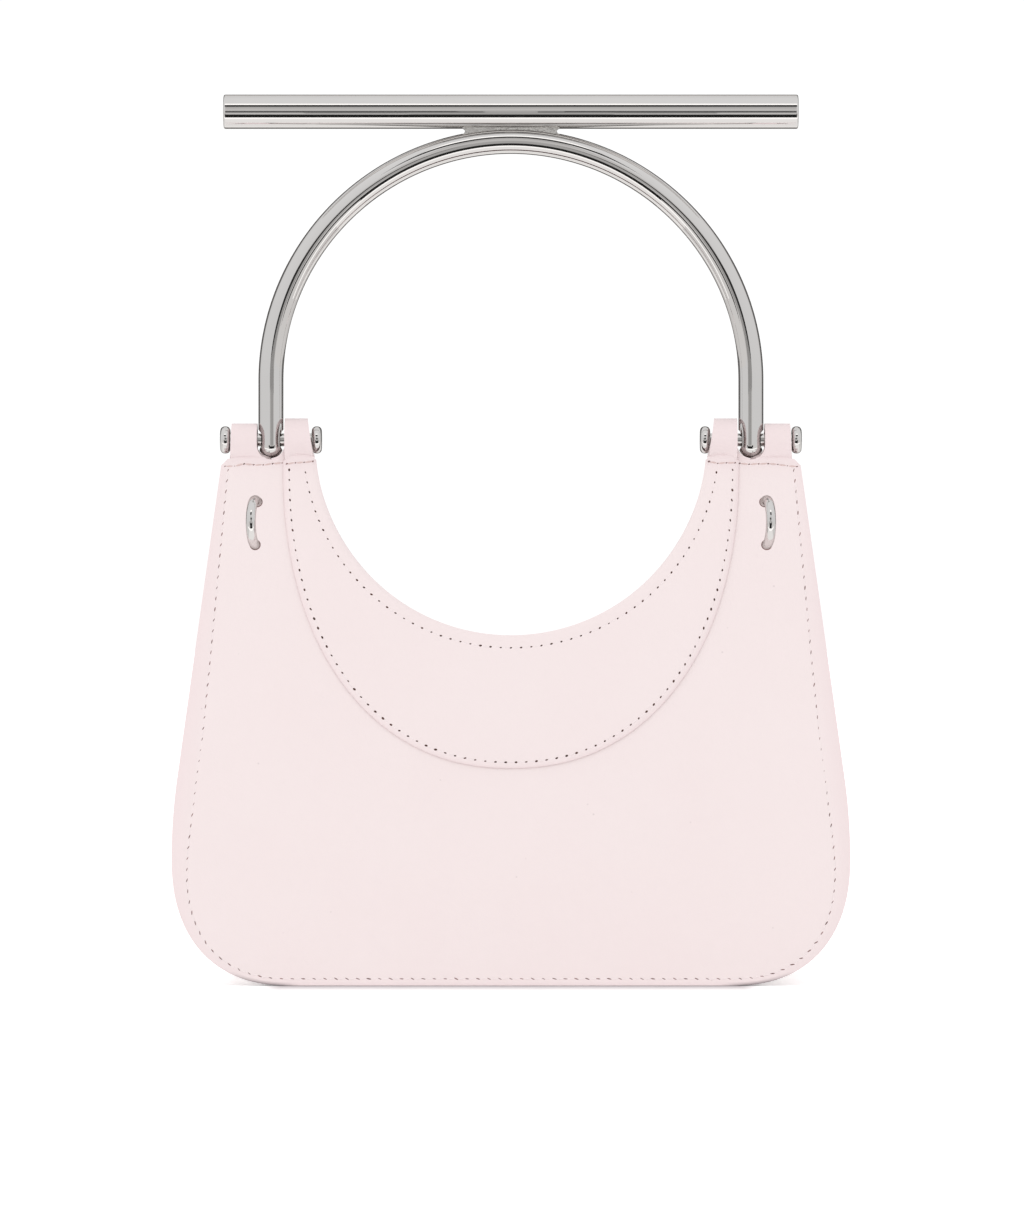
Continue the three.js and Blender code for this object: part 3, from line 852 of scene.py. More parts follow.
def grain_side(colours):
    """Smooth pale leather with fine grain, a little mottling and a few pores."""
    material, tree, shader, place = new_material("Leather grain side")
    if tree is None:
        return material
    grain = place_group(tree, grain_group(), {"Place": place})
    mottled = math_node(tree, "MULTIPLY", grain["Tone"], 0.35)
    tone = blend_colours(tree, mottled, opaque(colours.leather), opaque(colours.leather_deep))
    tone = blend_colours(tree, attribute(tree, SHADE), tone, opaque(colours.leather_edge))
    # Pores take a little of the needle holes' painted shade
    pores = math_node(tree, "MULTIPLY", grain["Pores"], 0.16)
    tone = blend_colours(tree, pores, tone, opaque(colours.hole))
    inputs = {
        # Painted shade along the cut edge of the lower corners
        "Base Color": with_corner_shade(tree, colours, tone),
        "Roughness": span_node(tree, grain["Tone"], 0, 1, 0.46, 0.56),
        "Specular IOR Level": 0.35,
        "Normal": bump(tree, grain["Height"], 0.22, 0.12 * MM),
    }
    feed(tree, shader, inputs)
    return material


def flesh_side(colours):
    """Brushed inside of the leather."""
    material, tree, shader, place = new_material("Leather flesh side")
    if tree is None:
        return material
    grain = place_group(tree, grain_group(), {"Place": place, "Cells": 3400.0, "Mottling": 70.0})
    nap = noise(tree, place, 1900.0, 5.0, 0.7)
    tone = blend_colours(tree, grain["Tone"], opaque(colours.flesh), opaque(colours.flesh, 0.86))
    fluff = math_node(tree, "MULTIPLY", nap, 0.3)
    inputs = {
        "Base Color": blend_colours(tree, fluff, tone, opaque(colours.leather)),
        "Roughness": span_node(tree, nap, 0.3, 0.7, 0.78, 0.95),
        "Specular IOR Level": 0.2,
        "Sheen Weight": 0.25,
        "Normal": bump(tree, nap, 0.5, 0.25 * MM),
    }
    feed(tree, shader, inputs)
    return material


def painted_edge(colours):
    """Cut edges under a thin coat of paint."""
    material, tree, shader, place = new_material("Leather painted edge")
    if tree is None:
        return material
    grain = place_group(tree, grain_group(), {"Place": place, "Cells": 1500.0, "Mottling": 180.0})
    mottled = math_node(tree, "MULTIPLY", grain["Tone"], 0.5)
    tone = blend_colours(tree, mottled, opaque(colours.edge), opaque(colours.leather_deep))
    inputs = {
        # Painted shade along the cut edge of the lower corners
        "Base Color": with_corner_shade(tree, colours, tone),
        "Roughness": span_node(tree, grain["Tone"], 0, 1, 0.36, 0.5),
        "Normal": bump(tree, grain["Height"], 0.3, 0.1 * MM),
    }
    feed(tree, shader, inputs)
    return material


def leather_set(colours):
    """The three sides of a leather wall, in the order of its material slots."""
    return [grain_side(colours), flesh_side(colours), painted_edge(colours)]


def thread_finish(name, colour):
    """Waxed thread with a fine twist."""
    material, tree, shader, place = new_material(name)
    if tree is None:
        return material
    twist = noise(tree, place, 3800.0, 2.0)
    inputs = {
        "Base Color": blend_colours(tree, twist, opaque(colour), opaque(colour, 0.88)),
        "Roughness": span_node(tree, twist, 0.3, 0.7, 0.45, 0.65),
        "Normal": bump(tree, twist, 0.4, 0.1 * MM),
    }
    feed(tree, shader, inputs)
    return material


def hole_finish(name, colour):
    """Painted shade of the leather fibre inside a needle hole."""
    material, tree, shader, place = new_material(name)
    if tree is None:
        return material
    # Painted shade, deeper or paler from hole to hole
    uneven_shade = span_node(tree, noise(tree, place, 330.0, 2.0), 0.35, 0.68, 0.0, 1.0)
    tone = blend_colours(tree, uneven_shade, opaque(colour), opaque(colour, 2))
    feed(tree, shader, {"Base Color": tone, "Roughness": 0.9, "Specular IOR Level": 0.1})
    return material


def polished_metal(colours):
    """Polished plating with faint wiping marks."""
    material, tree, shader, place = new_material("Polished plating")
    if tree is None:
        return material
    haze = place_group(tree, haze_group(), {"Place": place, "Low": 0.02, "High": 0.045})
    cloud = noise(tree, place, 45.0, 3.0)
    inputs = {
        "Base Color": blend_colours(tree, cloud, opaque(colours.plating), opaque(colours.plating, 0.94)),
        "Metallic": 1.0,
        "Specular Tint": opaque(colours.grazing),
        "Roughness": haze["Roughness"],
        "Normal": bump(tree, haze["Height"], 0.03, 0.02 * MM),
    }
    feed(tree, shader, inputs)
    return material


def weld_metal(colours):
    """Plated weld with a fine cast grain."""
    material, tree, shader, place = new_material("Plated weld")
    if tree is None:
        return material
    haze = place_group(tree, haze_group(), {"Place": place, "Low": 0.22, "High": 0.36})
    inputs = {
        "Base Color": blend_colours(tree, haze["Height"], opaque(colours.weld), opaque(colours.weld, 0.8)),
        "Metallic": 1.0,
        "Roughness": haze["Roughness"],
        "Normal": bump(tree, haze["Height"], 0.6, 0.2 * MM),
    }
    feed(tree, shader, inputs)
    return material


# Leather walls


def stations(total):
    """Distances along half of an edge, closer together near the upper edge."""
    marks = [mark * MM for mark in TOP_MARKS]
    spread = total - marks[-1]
    count = math.ceil(spread / GRID_STEP)
    return marks + [marks[-1] + spread * part for part in parts(count)[1:]]


def spaced(from_edge, total, steps):
    """Distances from the scoop to an edge: close to both, even between them."""
    from_scoop = [mark * MM for mark in SCOOP_MARKS]
    low = from_scoop[-1]
    high = total - from_edge[-1]
    between = [mix(low, high, part) for part in parts(steps)[1:-1]]
    return from_scoop + between + [total - mark for mark in reversed(from_edge)]


def whole_rows(right):
    """Rows of a right half with their mirror image, from the left upper end round to the right one."""
    left = [[Vector((-point.x, point.y, point.z)) for point in row] for row in right]
    return left[:-1] + right[::-1]


def wall_rows(tote, edge, marks_at, depth_at):
    """Rows of points from the scoop to an edge, from the left upper end round to the right one."""
    right = []
    for distance in stations(edge.length):
        rim = edge.at(distance)
        scoop = scoop_point(tote, distance / edge.length)
        span = rim - scoop
        along = span.normalized()
        slant = min(max(abs(along.dot(edge.inwards(distance))), LEAST_SLANT), 1)
        row = []
        for mark in marks_at(span.length, slant, rim.y):
            flat = scoop + along * mark
            depth = depth_at(flat, mark, (span.length - mark) * slant)
            row.append(Vector((flat.x, depth, flat.y)))
        right.append(row)
    return whole_rows(right)


def panel_marks(total, slant, height):
    inset = stitch_inset(height)
    from_edge = [inset * part / slant for part in EDGE_SHARES]
    from_edge += [(inset + mark * MM) / slant for mark in PAST_STITCH_MARKS]
    return spaced(from_edge, total, PANEL_STEPS)


def yoke_marks(total, slant, _height):
    from_edge = [mark * MM / slant for mark in YOKE_MARKS]
    return spaced(from_edge, max(total, LEAST_YOKE), YOKE_STEPS)


def pulled_in(stitches, distances):
    """How far the leather is pulled in by rows of stitches at some distances."""
    return stitches.groove * max(dent(distance, stitches.groove_half) for distance in distances)


def panel_rows(tote, side, sewn_scoop):
    """Middle surface of a panel, with the grooves of its rows of stitches."""
    body = tote.body

    def depth_at(flat, from_scoop, from_edge):
        inset = stitch_inset(flat.y)
        grooves = [from_edge - inset, flat.y - seam_height(body, flat.x)]
        if sewn_scoop:
            grooves.append(from_scoop - tote.stitches.scoop_inset)
        middle = inside_of_panel(body, flat.x, flat.y) + body.panel / 2
        return side * (middle - pulled_in(tote.stitches, grooves) - panel_turn(body, from_edge, inset))

    return wall_rows(tote, panel_edge(body), panel_marks, depth_at)


def yoke_rows(tote):
    """Middle surface of the yoke, with the grooves of its rows of stitches."""
    body = tote.body
    yoke = tote.yoke
    stitches = tote.stitches

    def depth_at(flat, from_scoop, from_edge):
        grooves = (
            from_scoop - stitches.scoop_inset,
            from_edge - stitches.yoke_inset,
            flat.y - seam_height(body, flat.x),
        )
        turned = yoke.edge_roll * turned_edge(min(from_edge, from_scoop), YOKE_ROLL_REACH)
        middle = inside_of_panel(body, flat.x, flat.y) + body.panel + yoke.lift + yoke.leather / 2
        return FRONT * (middle - pulled_in(stitches, grooves) - turned)

    return wall_rows(tote, yoke_edge(tote), yoke_marks, depth_at)


def hook_stops(tote, start_y, centre_y, radius, bow):
    """Middle line of a loop as (y, z, bow, fold): up from a crease, over the pin and down to a tail."""
    loops = tote.loops
    top = tote.body.top
    pin = tote.pins.height
    stops = []
    for up, crease in CREASE_FOOT + PLAIN_FOOT:
        part = up * MM / (pin - top)
        y = mix(start_y, centre_y - radius, eased(part))
        stops.append((y, top + up * MM, bow * (1 - part), loops.crease * crease))
    for part in parts(OVER_STEPS):
        point = on_circle(radius, math.pi * (1 - part))
        stops.append((centre_y + point.x, pin + point.y, 0, 0))
    for part in parts(DOWN_STEPS)[1:]:
        y = mix(centre_y + radius, loops.tail_y, eased(part))
        stops.append((y, mix(pin, loops.tail_top, part), 0, 0))
    for part in parts(TAIL_STEPS)[1:]:
        stops.append((loops.tail_y, mix(loops.tail_top, loops.tail_end, part), 0, 0))
    return stops


def notch_half(tote, side_gap, z):
    """Half width at a height of the round notch that a foot of the handle stands in."""
    handle = tote.handle
    below = max(handle.foot + handle.tube - z, 0)
    gap = mix(side_gap, tote.loops.notch, min(below / handle.tube, 1))
    return math.sqrt(max((handle.tube + gap) ** 2 - below**2, LEAST_NOTCH**2))


def flared(tote, y, z):
    """How far a loop's free side stands out at a place: wider at its foot in front, narrower at its top."""
    loops = tote.loops
    if y > 0:
        return FLARE_TOP * loops.flare
    part = fading(z, tote.body.top, tote.pins.height + loops.yoke_radius)
    return mix(FLARE_FOOT, FLARE_TOP, part) * loops.flare


def crease_at(part):
    """How deep the crease of a loop is, by the part of the way across from the handle's foot."""
    return min(part / CREASE_FADE, 1)


def strap_place(side, reach, stop, folded_at):
    """A stop of a strap as a function of the part of the way across it, with x growing."""
    low, high = sorted((side * reach[0], side * reach[1]))
    y, z, bow, fold = stop

    def place(part):
        outwards = part if side > 0 else 1 - part
        lift = bow * math.sin(math.pi * outwards**BOW_POWER)
        return Vector((mix(low, high, part), y + fold * folded_at(outwards), z + lift))

    return place


def grow_strap(bm, verts, base, stops, reach_at, folded_at):
    """Pulls a part of a wall's upper edge, on both sides, up through stops between two places across."""
    last_row, last_place = max(verts)
    for side, row in ((-1, 0), (1, last_row)):
        ends = [
            min(range(last_place + 1), key=lambda place: abs(abs(verts[row, place].co.x) - goal))
            for goal in base
        ]
        edges = [bm.edges.get((verts[row, place], verts[row, place + 1])) for place in range(*ends)]
        places = [strap_place(side, reach_at(stop[0], stop[1]), stop, folded_at) for stop in stops]
        extend(bm, edges, places)


def edge_shade(verts, edge_lines):
    """How deep the colour of a wall is by its grid lines: full at the loops and along the outer edge."""
    last_row, last_place = max(verts)

    def shade_at(row, place):
        from_top = min(row, last_row - row) / len(TOP_MARKS)
        from_edge = (last_place - place) / edge_lines
        return max(1 - from_top, 1 - from_edge, 0)

    return shade_at


def painted_corner_shade(verts):
    """How much painted shade a panel has by its grid lines: along the cut edge of its lower corners."""
    last_place = max(verts)[1]

    def corner_shade_at(row, place):
        spot = verts[row, place].co
        low = fading(spot.z, *CORNER_SHADE_HEIGHTS)
        out = fading(abs(spot.x), *CORNER_SHADE_ACROSS)
        return low * out * fading(last_place - place, *CORNER_SHADE_LINES)

    return corner_shade_at


class TOTE_OT_panels(Operator):
    """Adds the front and the back leather panel"""

    bl_idname = "tote.panels"
    bl_label = "Add Panels"

    def execute(self, context):
        tote = context.scene.tote_bag
        finishes = leather_set(tote.colours)
        for side, name in ((FRONT, "front_panel"), (BACK, "back_panel")):
            bm, verts = sheet_from_rows(panel_rows(tote, side, side == BACK))
            shade_verts(bm, verts, SHADE, edge_shade(verts, len(EDGE_SHARES)))
            # Painted shade along the cut edge of the lower corners
            shade_verts(bm, verts, CORNER_SHADE, painted_corner_shade(verts))
            if side == FRONT:
                self.add_straps(tote, bm, verts)
            face_towards(bm, verts, Vector((0, side, 0)))
            piece = new_piece(name + "_leather", bm, finishes, BAG, LEATHER, [name])
            give_thickness(piece, tote.body.panel, PANEL_RIM)
        return {"FINISHED"}

    def add_straps(self, tote, bm, verts):
        """Grows the panel's loops, and the inner corners of the notches for the handle's feet."""
        body = tote.body
        loops = tote.loops
        leg = tote.handle.leg_x
        radius = tote.pins.radius + loops.play + body.panel / 2
        start_y = FRONT * (body.pinch + body.panel / 2)
        stops = hook_stops(tote, start_y, 0, radius, PANEL_BOW)
        outer = loops.panel_from + loops.panel_width

        def loop_reach(y, z):
            notch = leg + notch_half(tote, loops.panel_from - leg - tote.handle.tube, z)
            inner = loops.panel_from if y > 0 else notch
            return inner, outer + PANEL_FLARE * flared(tote, y, z)

        grow_strap(bm, verts, (leg, outer), stops, loop_reach, crease_at)
        corner = leg - NOTCH_CORNER
        gap = leg - loops.yoke_from - loops.yoke_width - tote.handle.tube

        def corner_reach(y, z):
            return corner, leg - notch_half(tote, gap, z)

        stops = [(start_y, body.top + up * MM, 0, 0) for up in CORNER_RISE]
        grow_strap(bm, verts, (corner, leg), stops, corner_reach, lambda outwards: 0)


class TOTE_OT_yoke(Operator):
    """Adds the crescent yoke on the front panel"""

    bl_idname = "tote.yoke"
    bl_label = "Add Yoke"

    def execute(self, context):
        tote = context.scene.tote_bag
        body = tote.body
        yoke = tote.yoke
        loops = tote.loops
        bm, verts = sheet_from_rows(yoke_rows(tote))
        shade_verts(bm, verts, SHADE, edge_shade(verts, YOKE_SHADE_LINES))
        front = body.pinch + body.panel + yoke.lift + yoke.leather
        back = tote.pins.radius + loops.play + body.panel
        start_y = FRONT * (front - yoke.leather / 2)
        radius = loops.yoke_radius - yoke.leather / 2
        stops = hook_stops(tote, start_y, (back - front) / 2, radius, YOKE_BOW)
        inner = loops.yoke_from
        outer = inner + loops.yoke_width

        def loop_reach(y, z):
            return inner - flared(tote, y, z), outer

        def loop_crease(outwards):
            return crease_at(1 - outwards)

        grow_strap(bm, verts, (inner - YOKE_LOOP_ROOT, outer), stops, loop_reach, loop_crease)
        face_towards(bm, verts, Vector((0, FRONT, 0)))
        piece = new_piece("front_yoke_leather", bm, leather_set(tote.colours), BAG, LEATHER, ["front_yoke"])
        give_thickness(piece, yoke.leather, YOKE_RIM)
        return {"FINISHED"}


def gusset_section(tote, width, sag):
    """Points across the gusset as (inset from the edge, distance from the flange, part of the width)."""
    gusset = tote.gusset
    half = [(mix(gusset.edge_inset, width - gusset.bend, part), 0, 1) for part in parts(FLANGE_STEPS)[:-1]]
    for part in parts(BEND_STEPS):
        angle = part * math.pi / 2
        inset = width - gusset.bend * (1 - math.sin(angle))
        half.append((inset, gusset.bend * (1 - math.cos(angle)), 1))
    strip = []
    for part in parts(STRIP_STEPS)[1:-1]:
        place = 1 - 2 * part
        strip.append((width + sag * (1 - place**2), gusset.bend, place))
    mirrored = [(inset, away, -1) for inset, away, place in reversed(half)]
    return half + strip + mirrored


def gusset_rows(tote):
    """Middle surface of the gusset, from its left upper end round to the right one."""
    body = tote.body
    gusset = tote.gusset
    edge = panel_edge(body)
    start = next(mark / 4 * MM for mark in GUSSET_SEARCH if edge.at(mark / 4 * MM).y <= gusset.top)
    count = math.ceil((edge.length - start) / GUSSET_STEP)
    right = []
    for part in parts(count):
        distance = mix(start, edge.length, part)
        rim = edge.at(distance)
        inwards = edge.inwards(distance)
        sag = gusset.sag * math.sin(math.pi * max(rim.y, 0) / gusset.top)
        inset_here = stitch_inset(rim.y)
        row = []
        for inset, away, place in gusset_section(tote, inset_here + gusset.past_stitch, sag):
            flat = rim + inwards * inset
            turned = panel_turn(body, inset, inset_here)
            face = inside_of_panel(body, flat.x, flat.y) - gusset.gap - gusset.leather / 2 - turned
            half = max(face - away, face * gusset.least)
            row.append(Vector((max(flat.x, 0), FRONT * place * half, flat.y)))
        right.append(row)
    for point in right[-1]:
        point.x = 0
    return whole_rows(right)


class TOTE_OT_gusset(Operator):
    """Adds the strip of leather between the panels"""

    bl_idname = "tote.gusset"
    bl_label = "Add Gusset"

    def execute(self, context):
        tote = context.scene.tote_bag
        bm, verts = sheet_from_rows(gusset_rows(tote))
        face_towards(bm, verts, Vector((0, 0, -1)))
        piece = new_piece("gusset_leather", bm, leather_set(tote.colours), BAG, LEATHER, ["gusset"])
        give_thickness(piece, tote.gusset.leather, GUSSET_RIM)
        return {"FINISHED"}


# Stitches


def both_halves(line):
    """A right half line as a whole one, from the left upper end round to the right one."""
    left = [Vector((-point.x, point.y)) for point in line.points]
    return Line(left[:-1] + line.points[::-1])


def from_seam(body, line, below):
    """The part of a half line that lies at least `below` under the seam."""
    kept = [point for point in line.points if point.y < seam_height(body, point.x) - below]
    return Line(kept)


def outer_row(tote):
    return both_halves(from_seam(tote.body, panel_edge(tote.body).inset(stitch_inset), BELOW_SEAM))


def yoke_row(tote):
    line = yoke_edge(tote).inset(lambda height: tote.stitches.yoke_inset)
    return both_halves(from_seam(tote.body, line, BELOW_SEAM))


def scoop_row(tote):
    middle = Vector((0, tote.pins.height))
    half = []
    for part in parts(SCOOP_STEPS):
        point = scoop_point(tote, part) - middle
        half.append(middle + point.normalized() * (tote.yoke.scoop + tote.stitches.scoop_inset))
    return both_halves(from_seam(tote.body, Line(half), SCOOP_BELOW_SEAM))


def seam_row(body, start, end, side):
    points = [Vector((side * x, seam_height(body, x))) for x in (start, end)]
    return Line(points)


# How a row is sewn: pitch, length, narrowness and slant in degrees of its needle holes, height of its thread
SewStyle = namedtuple("SewStyle", "pitch hole narrow slant proud finish wobble", defaults=(0,))


class Sewing:
    """Collects the threads and needle holes of the rows on one face of the bag."""

    def __init__(self, tote):
        self.tote = tote
        self.threads = bmesh.new()
        self.holes = bmesh.new()
        self.carrier = bpy.data.meshes.new("carrier")
        self.chance = random.Random(tote.stitches.seed)

    def ball(self, bm, spot, turn, size, finish, rows, sides=8):
        """Adds a small ball, made in a mesh of its own because that is quicker."""
        place = Matrix.Translation(spot) @ turn @ Matrix.Diagonal((*size, 1))
        shape = bmesh.new()
        bmesh.ops.create_uvsphere(shape, u_segments=sides, v_segments=rows, radius=1, matrix=place)
        for face in shape.faces:
            face.material_index = finish
        shape.to_mesh(self.carrier)
        shape.free()
        bm.from_mesh(self.carrier)

    def row(self, line, style, above, side, facing=1):
        """Sews along a flat line, `above` the inside of the panel."""
        body = self.tote.body
        count = max(round(line.length / style.pitch), 1)
        spots = []
        for part in parts(count):
            flat = line.at(part * line.length)
            flat.y += self.chance.uniform(-style.wobble, style.wobble)
            spot, normal = face_spot(body, flat.x, flat.y, above, side, facing)
            spots.append((spot - normal * self.tote.stitches.groove, normal))
        for number, (spot, normal) in enumerate(spots):
            before = spots[max(number - 1, 0)][0]
            after = spots[min(number + 1, count)][0]
            self.hole(spot, normal, (after - before).normalized(), style)
        for before, after in zip(spots, spots[1:]):
            self.stitch(before, after, style)

    def hole(self, spot, normal, along, style):
        """A needle hole, pulled long at a slant to the row: a flat dark ball of painted shade."""
        size = style.hole * self.chance.uniform(*HOLE_SIZES)
        slant = math.radians(style.slant) + self.chance.uniform(*HOLE_TURNS)
        way = along * math.cos(slant) + normal.cross(along) * math.sin(slant)
        wide = size * style.narrow * self.chance.uniform(*HOLE_WIDTHS)
        turn = turned_to(way, normal.cross(way), normal)
        self.ball(self.holes, spot, turn, (size, wide, HOLE_DEPTH), style.finish, rows=4)

    def punch(self, spot, normal, radius):
        """A round hole punched for a wire: a flat dark disc of painted shade round the wire."""
        turn = Vector((0, 0, 1)).rotation_difference(normal).to_matrix().to_4x4()
        self.ball(self.holes, spot, turn, (radius, radius, HOLE_DEPTH), SLIT, rows=6, sides=32)

    def stitch(self, before, after, style):
        """A stitch of thread between two needle holes, a little askew."""
        stitches = self.tote.stitches
        normal = (before[1] + after[1]).normalized()
        way = after[0] - before[0]
        along = way.normalized()
        along = (along + normal.cross(along) * self.chance.uniform(*THREAD_TURNS)).normalized()
        sunk = self.chance.uniform(style.proud - THREAD_PLAY, style.proud + THREAD_PLAY) - 1
        middle = (before[0] + after[0]) / 2 + normal * (stitches.thread * sunk + stitches.groove / 2)
        size = (stitches.thread, stitches.thread, way.length / 2 - style.hole * THREAD_GAP)
        turn = turned_to(normal.cross(along).normalized(), normal, along)
        self.ball(self.threads, middle, turn, size, style.finish, rows=6)

    def finish(self, name):
        """Makes the two pieces, with their materials in the order of DOT, SLIT and KNOT."""
        colours = self.tote.colours
        tonal = thread_finish("Tonal thread", colours.thread)
        seam = thread_finish("Seam thread", colours.seam)
        hole = hole_finish("Needle hole", colours.hole)
        slit = hole_finish("Needle slit", colours.slit)
        new_piece(name + "_threads", self.threads, [tonal, tonal, seam], BAG, LEATHER)
        new_piece(name + "_needle_holes", self.holes, [hole, slit, slit], BAG, LEATHER)
        bpy.data.meshes.remove(self.carrier)


class TOTE_OT_stitches(Operator):
    """Adds the rows of stitches on the front, the back and the gusset"""

    bl_idname = "tote.stitches"
    bl_label = "Add Stitches"

    def execute(self, context):
        tote = context.scene.tote_bag
        body = tote.body
        yoke = tote.yoke
        stitches = tote.stitches
        pitch = stitches.yoke_pitch
        dotted = SewStyle(pitch, stitches.yoke_hole, narrow=0.62, slant=14, proud=0.3, finish=DOT)
        knotted = SewStyle(
            pitch, SEAM_HOLE, narrow=0.6, slant=30, proud=0.55, finish=KNOT, wobble=SEAM_WOBBLE
        )
        pitch = stitches.outer_pitch
        slanted = SewStyle(pitch, stitches.outer_hole, narrow=0.24, slant=-17, proud=0.35, finish=SLIT)
        yoke_top = body.panel + yoke.lift + yoke.leather
        front = Sewing(tote)
        front.row(outer_row(tote), slanted, body.panel, FRONT)
        front.row(yoke_row(tote), dotted, yoke_top, FRONT)
        front.row(scoop_row(tote), dotted, yoke_top, FRONT)
        for side in BOTH_SIDES:
            front.row(seam_row(body, SEAM_OUTER, yoke.half + PAST_YOKE, side), knotted, body.panel, FRONT)
            front.row(seam_row(body, yoke.half - INSIDE_YOKE, SEAM_INNER, side), knotted, yoke_top, FRONT)
            for leg in BOTH_SIDES:
                entry = staple_frame(tote, side) @ Vector((0, 0, leg * tote.pins.staple_half))
                spot, normal = face_spot(body, entry.x, entry.z, body.panel, FRONT)
                front.punch(spot, normal, tote.pins.staple_wire + PUNCH_PLAY)
        front.finish("front")
        back = Sewing(tote)
        back.row(outer_row(tote), slanted, body.panel, BACK)
        back.row(scoop_row(tote), dotted, body.panel, BACK)
        for side in BOTH_SIDES:
            back.row(seam_row(body, SEAM_OUTER, SEAM_INNER, side), knotted, body.panel, BACK)
        back.finish("back")
        flanges = Sewing(tote)
        inner_face = -tote.gusset.gap - tote.gusset.leather + stitches.groove
        top = tote.gusset.top - BELOW_GUSSET_TOP
        below_top = [point for point in outer_row(tote).points if point.y < top]
        for side in BOTH_SIDES:
            flanges.row(Line(below_top), slanted, inner_face, side, -1)
        flanges.finish("gusset")
        return {"FINISHED"}


# Metal pieces


def arch_stops(handle):
    """Middle line of the arch with both rounded feet, as (centre, direction, radius)."""
    ball = handle.foot + handle.tube
    half = []
    for part in parts(FOOT_STEPS)[:-1]:
        angle = mix(math.radians(FOOT_START), 0, part)
        centre = Vector((handle.leg_x, 0, ball - handle.tube * math.sin(angle)))
        half.append((centre, handle.tube * math.cos(angle)))
    for part in parts(LEG_STEPS)[:-1]:
        half.append((Vector((handle.leg_x, 0, mix(ball, handle.arch, part))), handle.tube))
    for part in parts(ARCH_STEPS):
        angle = part * math.pi / 2
        x = handle.leg_x * powered(max(math.cos(angle), 0), handle.arch_power)
        z = mix(handle.arch, handle.arch_top, powered(math.sin(angle), handle.arch_power))
        half.append((Vector((x, 0, z)), handle.tube))
    mirrored = [(Vector((-centre.x, 0, centre.z)), radius) for centre, radius in half[:-1]]
    return rod_stops(mirrored + half[::-1])


def cut_away(piece, cutter):
    """Takes a cutter's closed shapes out of a piece for good."""
    tool = new_object("cutter", cutter)
    cut = piece.modifiers.new("Cut", "BOOLEAN")
    cut.operation = "DIFFERENCE"
    cut.solver = "EXACT"
    cut.object = tool
    graph = bpy.context.evaluated_depsgraph_get()
    done = bpy.data.meshes.new_from_object(piece.evaluated_get(graph))
    piece.modifiers.remove(cut)
    old = piece.data
    done.name = old.name + "_cut"
    piece.data = done
    used = tool.data
    bpy.data.objects.remove(tool)
    for mesh in (old, used):
        bpy.data.meshes.remove(mesh)


def sharpen(piece, degrees):
    piece.data.set_sharp_from_angle(angle=math.radians(degrees))


def foot_cutter(tote, side):
    """Bore and flats of a foot, in one turned shape."""
    handle = tote.handle
    far = CUT_REACH * handle.tube
    right = [(handle.spot, handle.bore), (handle.spot, handle.spot_radius)]
    right += [(far, handle.spot_radius), (far, 0)]
    profile = [(-x, radius) for x, radius in right[::-1]] + right
    return turn_on_x(profile, Vector((side * handle.leg_x, 0, tote.pins.height)), BORE_SIDES)


def weld_cutter(handle):
    """Round hollows at both ends of the weld."""
    bm = bmesh.new()
    half = handle.weld_width / 2
    down = handle.arch + (handle.arch_top - handle.arch) * math.sqrt(1 - (half / handle.leg_x) ** 2)
    low = down + handle.tube
    high = handle.bar - handle.bar_radius
    radius = (high - low) / 2 + WELD_PLAY
    turn = Matrix.Rotation(math.pi / 2, 4, "X")
    for side in BOTH_SIDES:
        place = Matrix.Translation((side * half, 0, (low + high) / 2)) @ turn
        bmesh.ops.create_cone(
            bm,
            cap_ends=True,
            segments=HOLLOW_SIDES,
            radius1=radius,
            radius2=radius,
            depth=4 * handle.weld_thick,
            matrix=place,
        )
    return bm


class TOTE_OT_handle(Operator):
    """Adds the arch, the cross bar and the weld between them"""

    bl_idname = "tote.handle"
    bl_label = "Add Handle"

    def execute(self, context):
        tote = context.scene.tote_bag
        handle = tote.handle
        metal = polished_metal(tote.colours)
        bm = bmesh.new()
        sweep(bm, arch_stops(handle), Vector((0, 1, 0)), ROD_SIDES)
        arch = new_piece("handle_arch", bm, [metal], HANDLE, METAL, ["handle"])
        for side in BOTH_SIDES:
            cut_away(arch, foot_cutter(tote, side))
        sharpen(arch, CUT_ANGLE)

        half = handle.bar_half
        right = [(half - handle.bar_round - BAR_SUPPORT, handle.bar_radius)]
        right += rounded(half, handle.bar_radius, handle.bar_round, 1)
        left = [(-x, radius) for x, radius in right]
        profile = [(-half, 0), *left[::-1], *right, (half, 0)]
        bm = turn_on_x(profile, Vector((0, 0, handle.bar)), BAR_SIDES)
        bar = new_piece("handle_bar", bm, [metal], HANDLE, METAL)
        sharpen(bar, TURNED_ANGLE)

        bm = bmesh.new()
        low = handle.arch_top
        high = handle.bar - handle.bar_radius / 2
        size = Matrix.Diagonal((handle.weld_width, handle.weld_thick, high - low, 1))
        place = Matrix.Translation((0, 0, (low + high) / 2)) @ size
        bmesh.ops.create_cube(bm, size=1, matrix=place)
        bmesh.ops.bevel(
            bm,
            geom=bm.edges[:],
            offset=WELD_ROUND,
            offset_type="OFFSET",
            affect="EDGES",
            segments=4,
            profile=0.5,
            material=-1,
        )
        weld = new_piece("handle_weld", bm, [weld_metal(tote.colours)], HANDLE, METAL)
        cut_away(weld, weld_cutter(handle))
        sharpen(weld, TURNED_ANGLE)
        return {"FINISHED"}


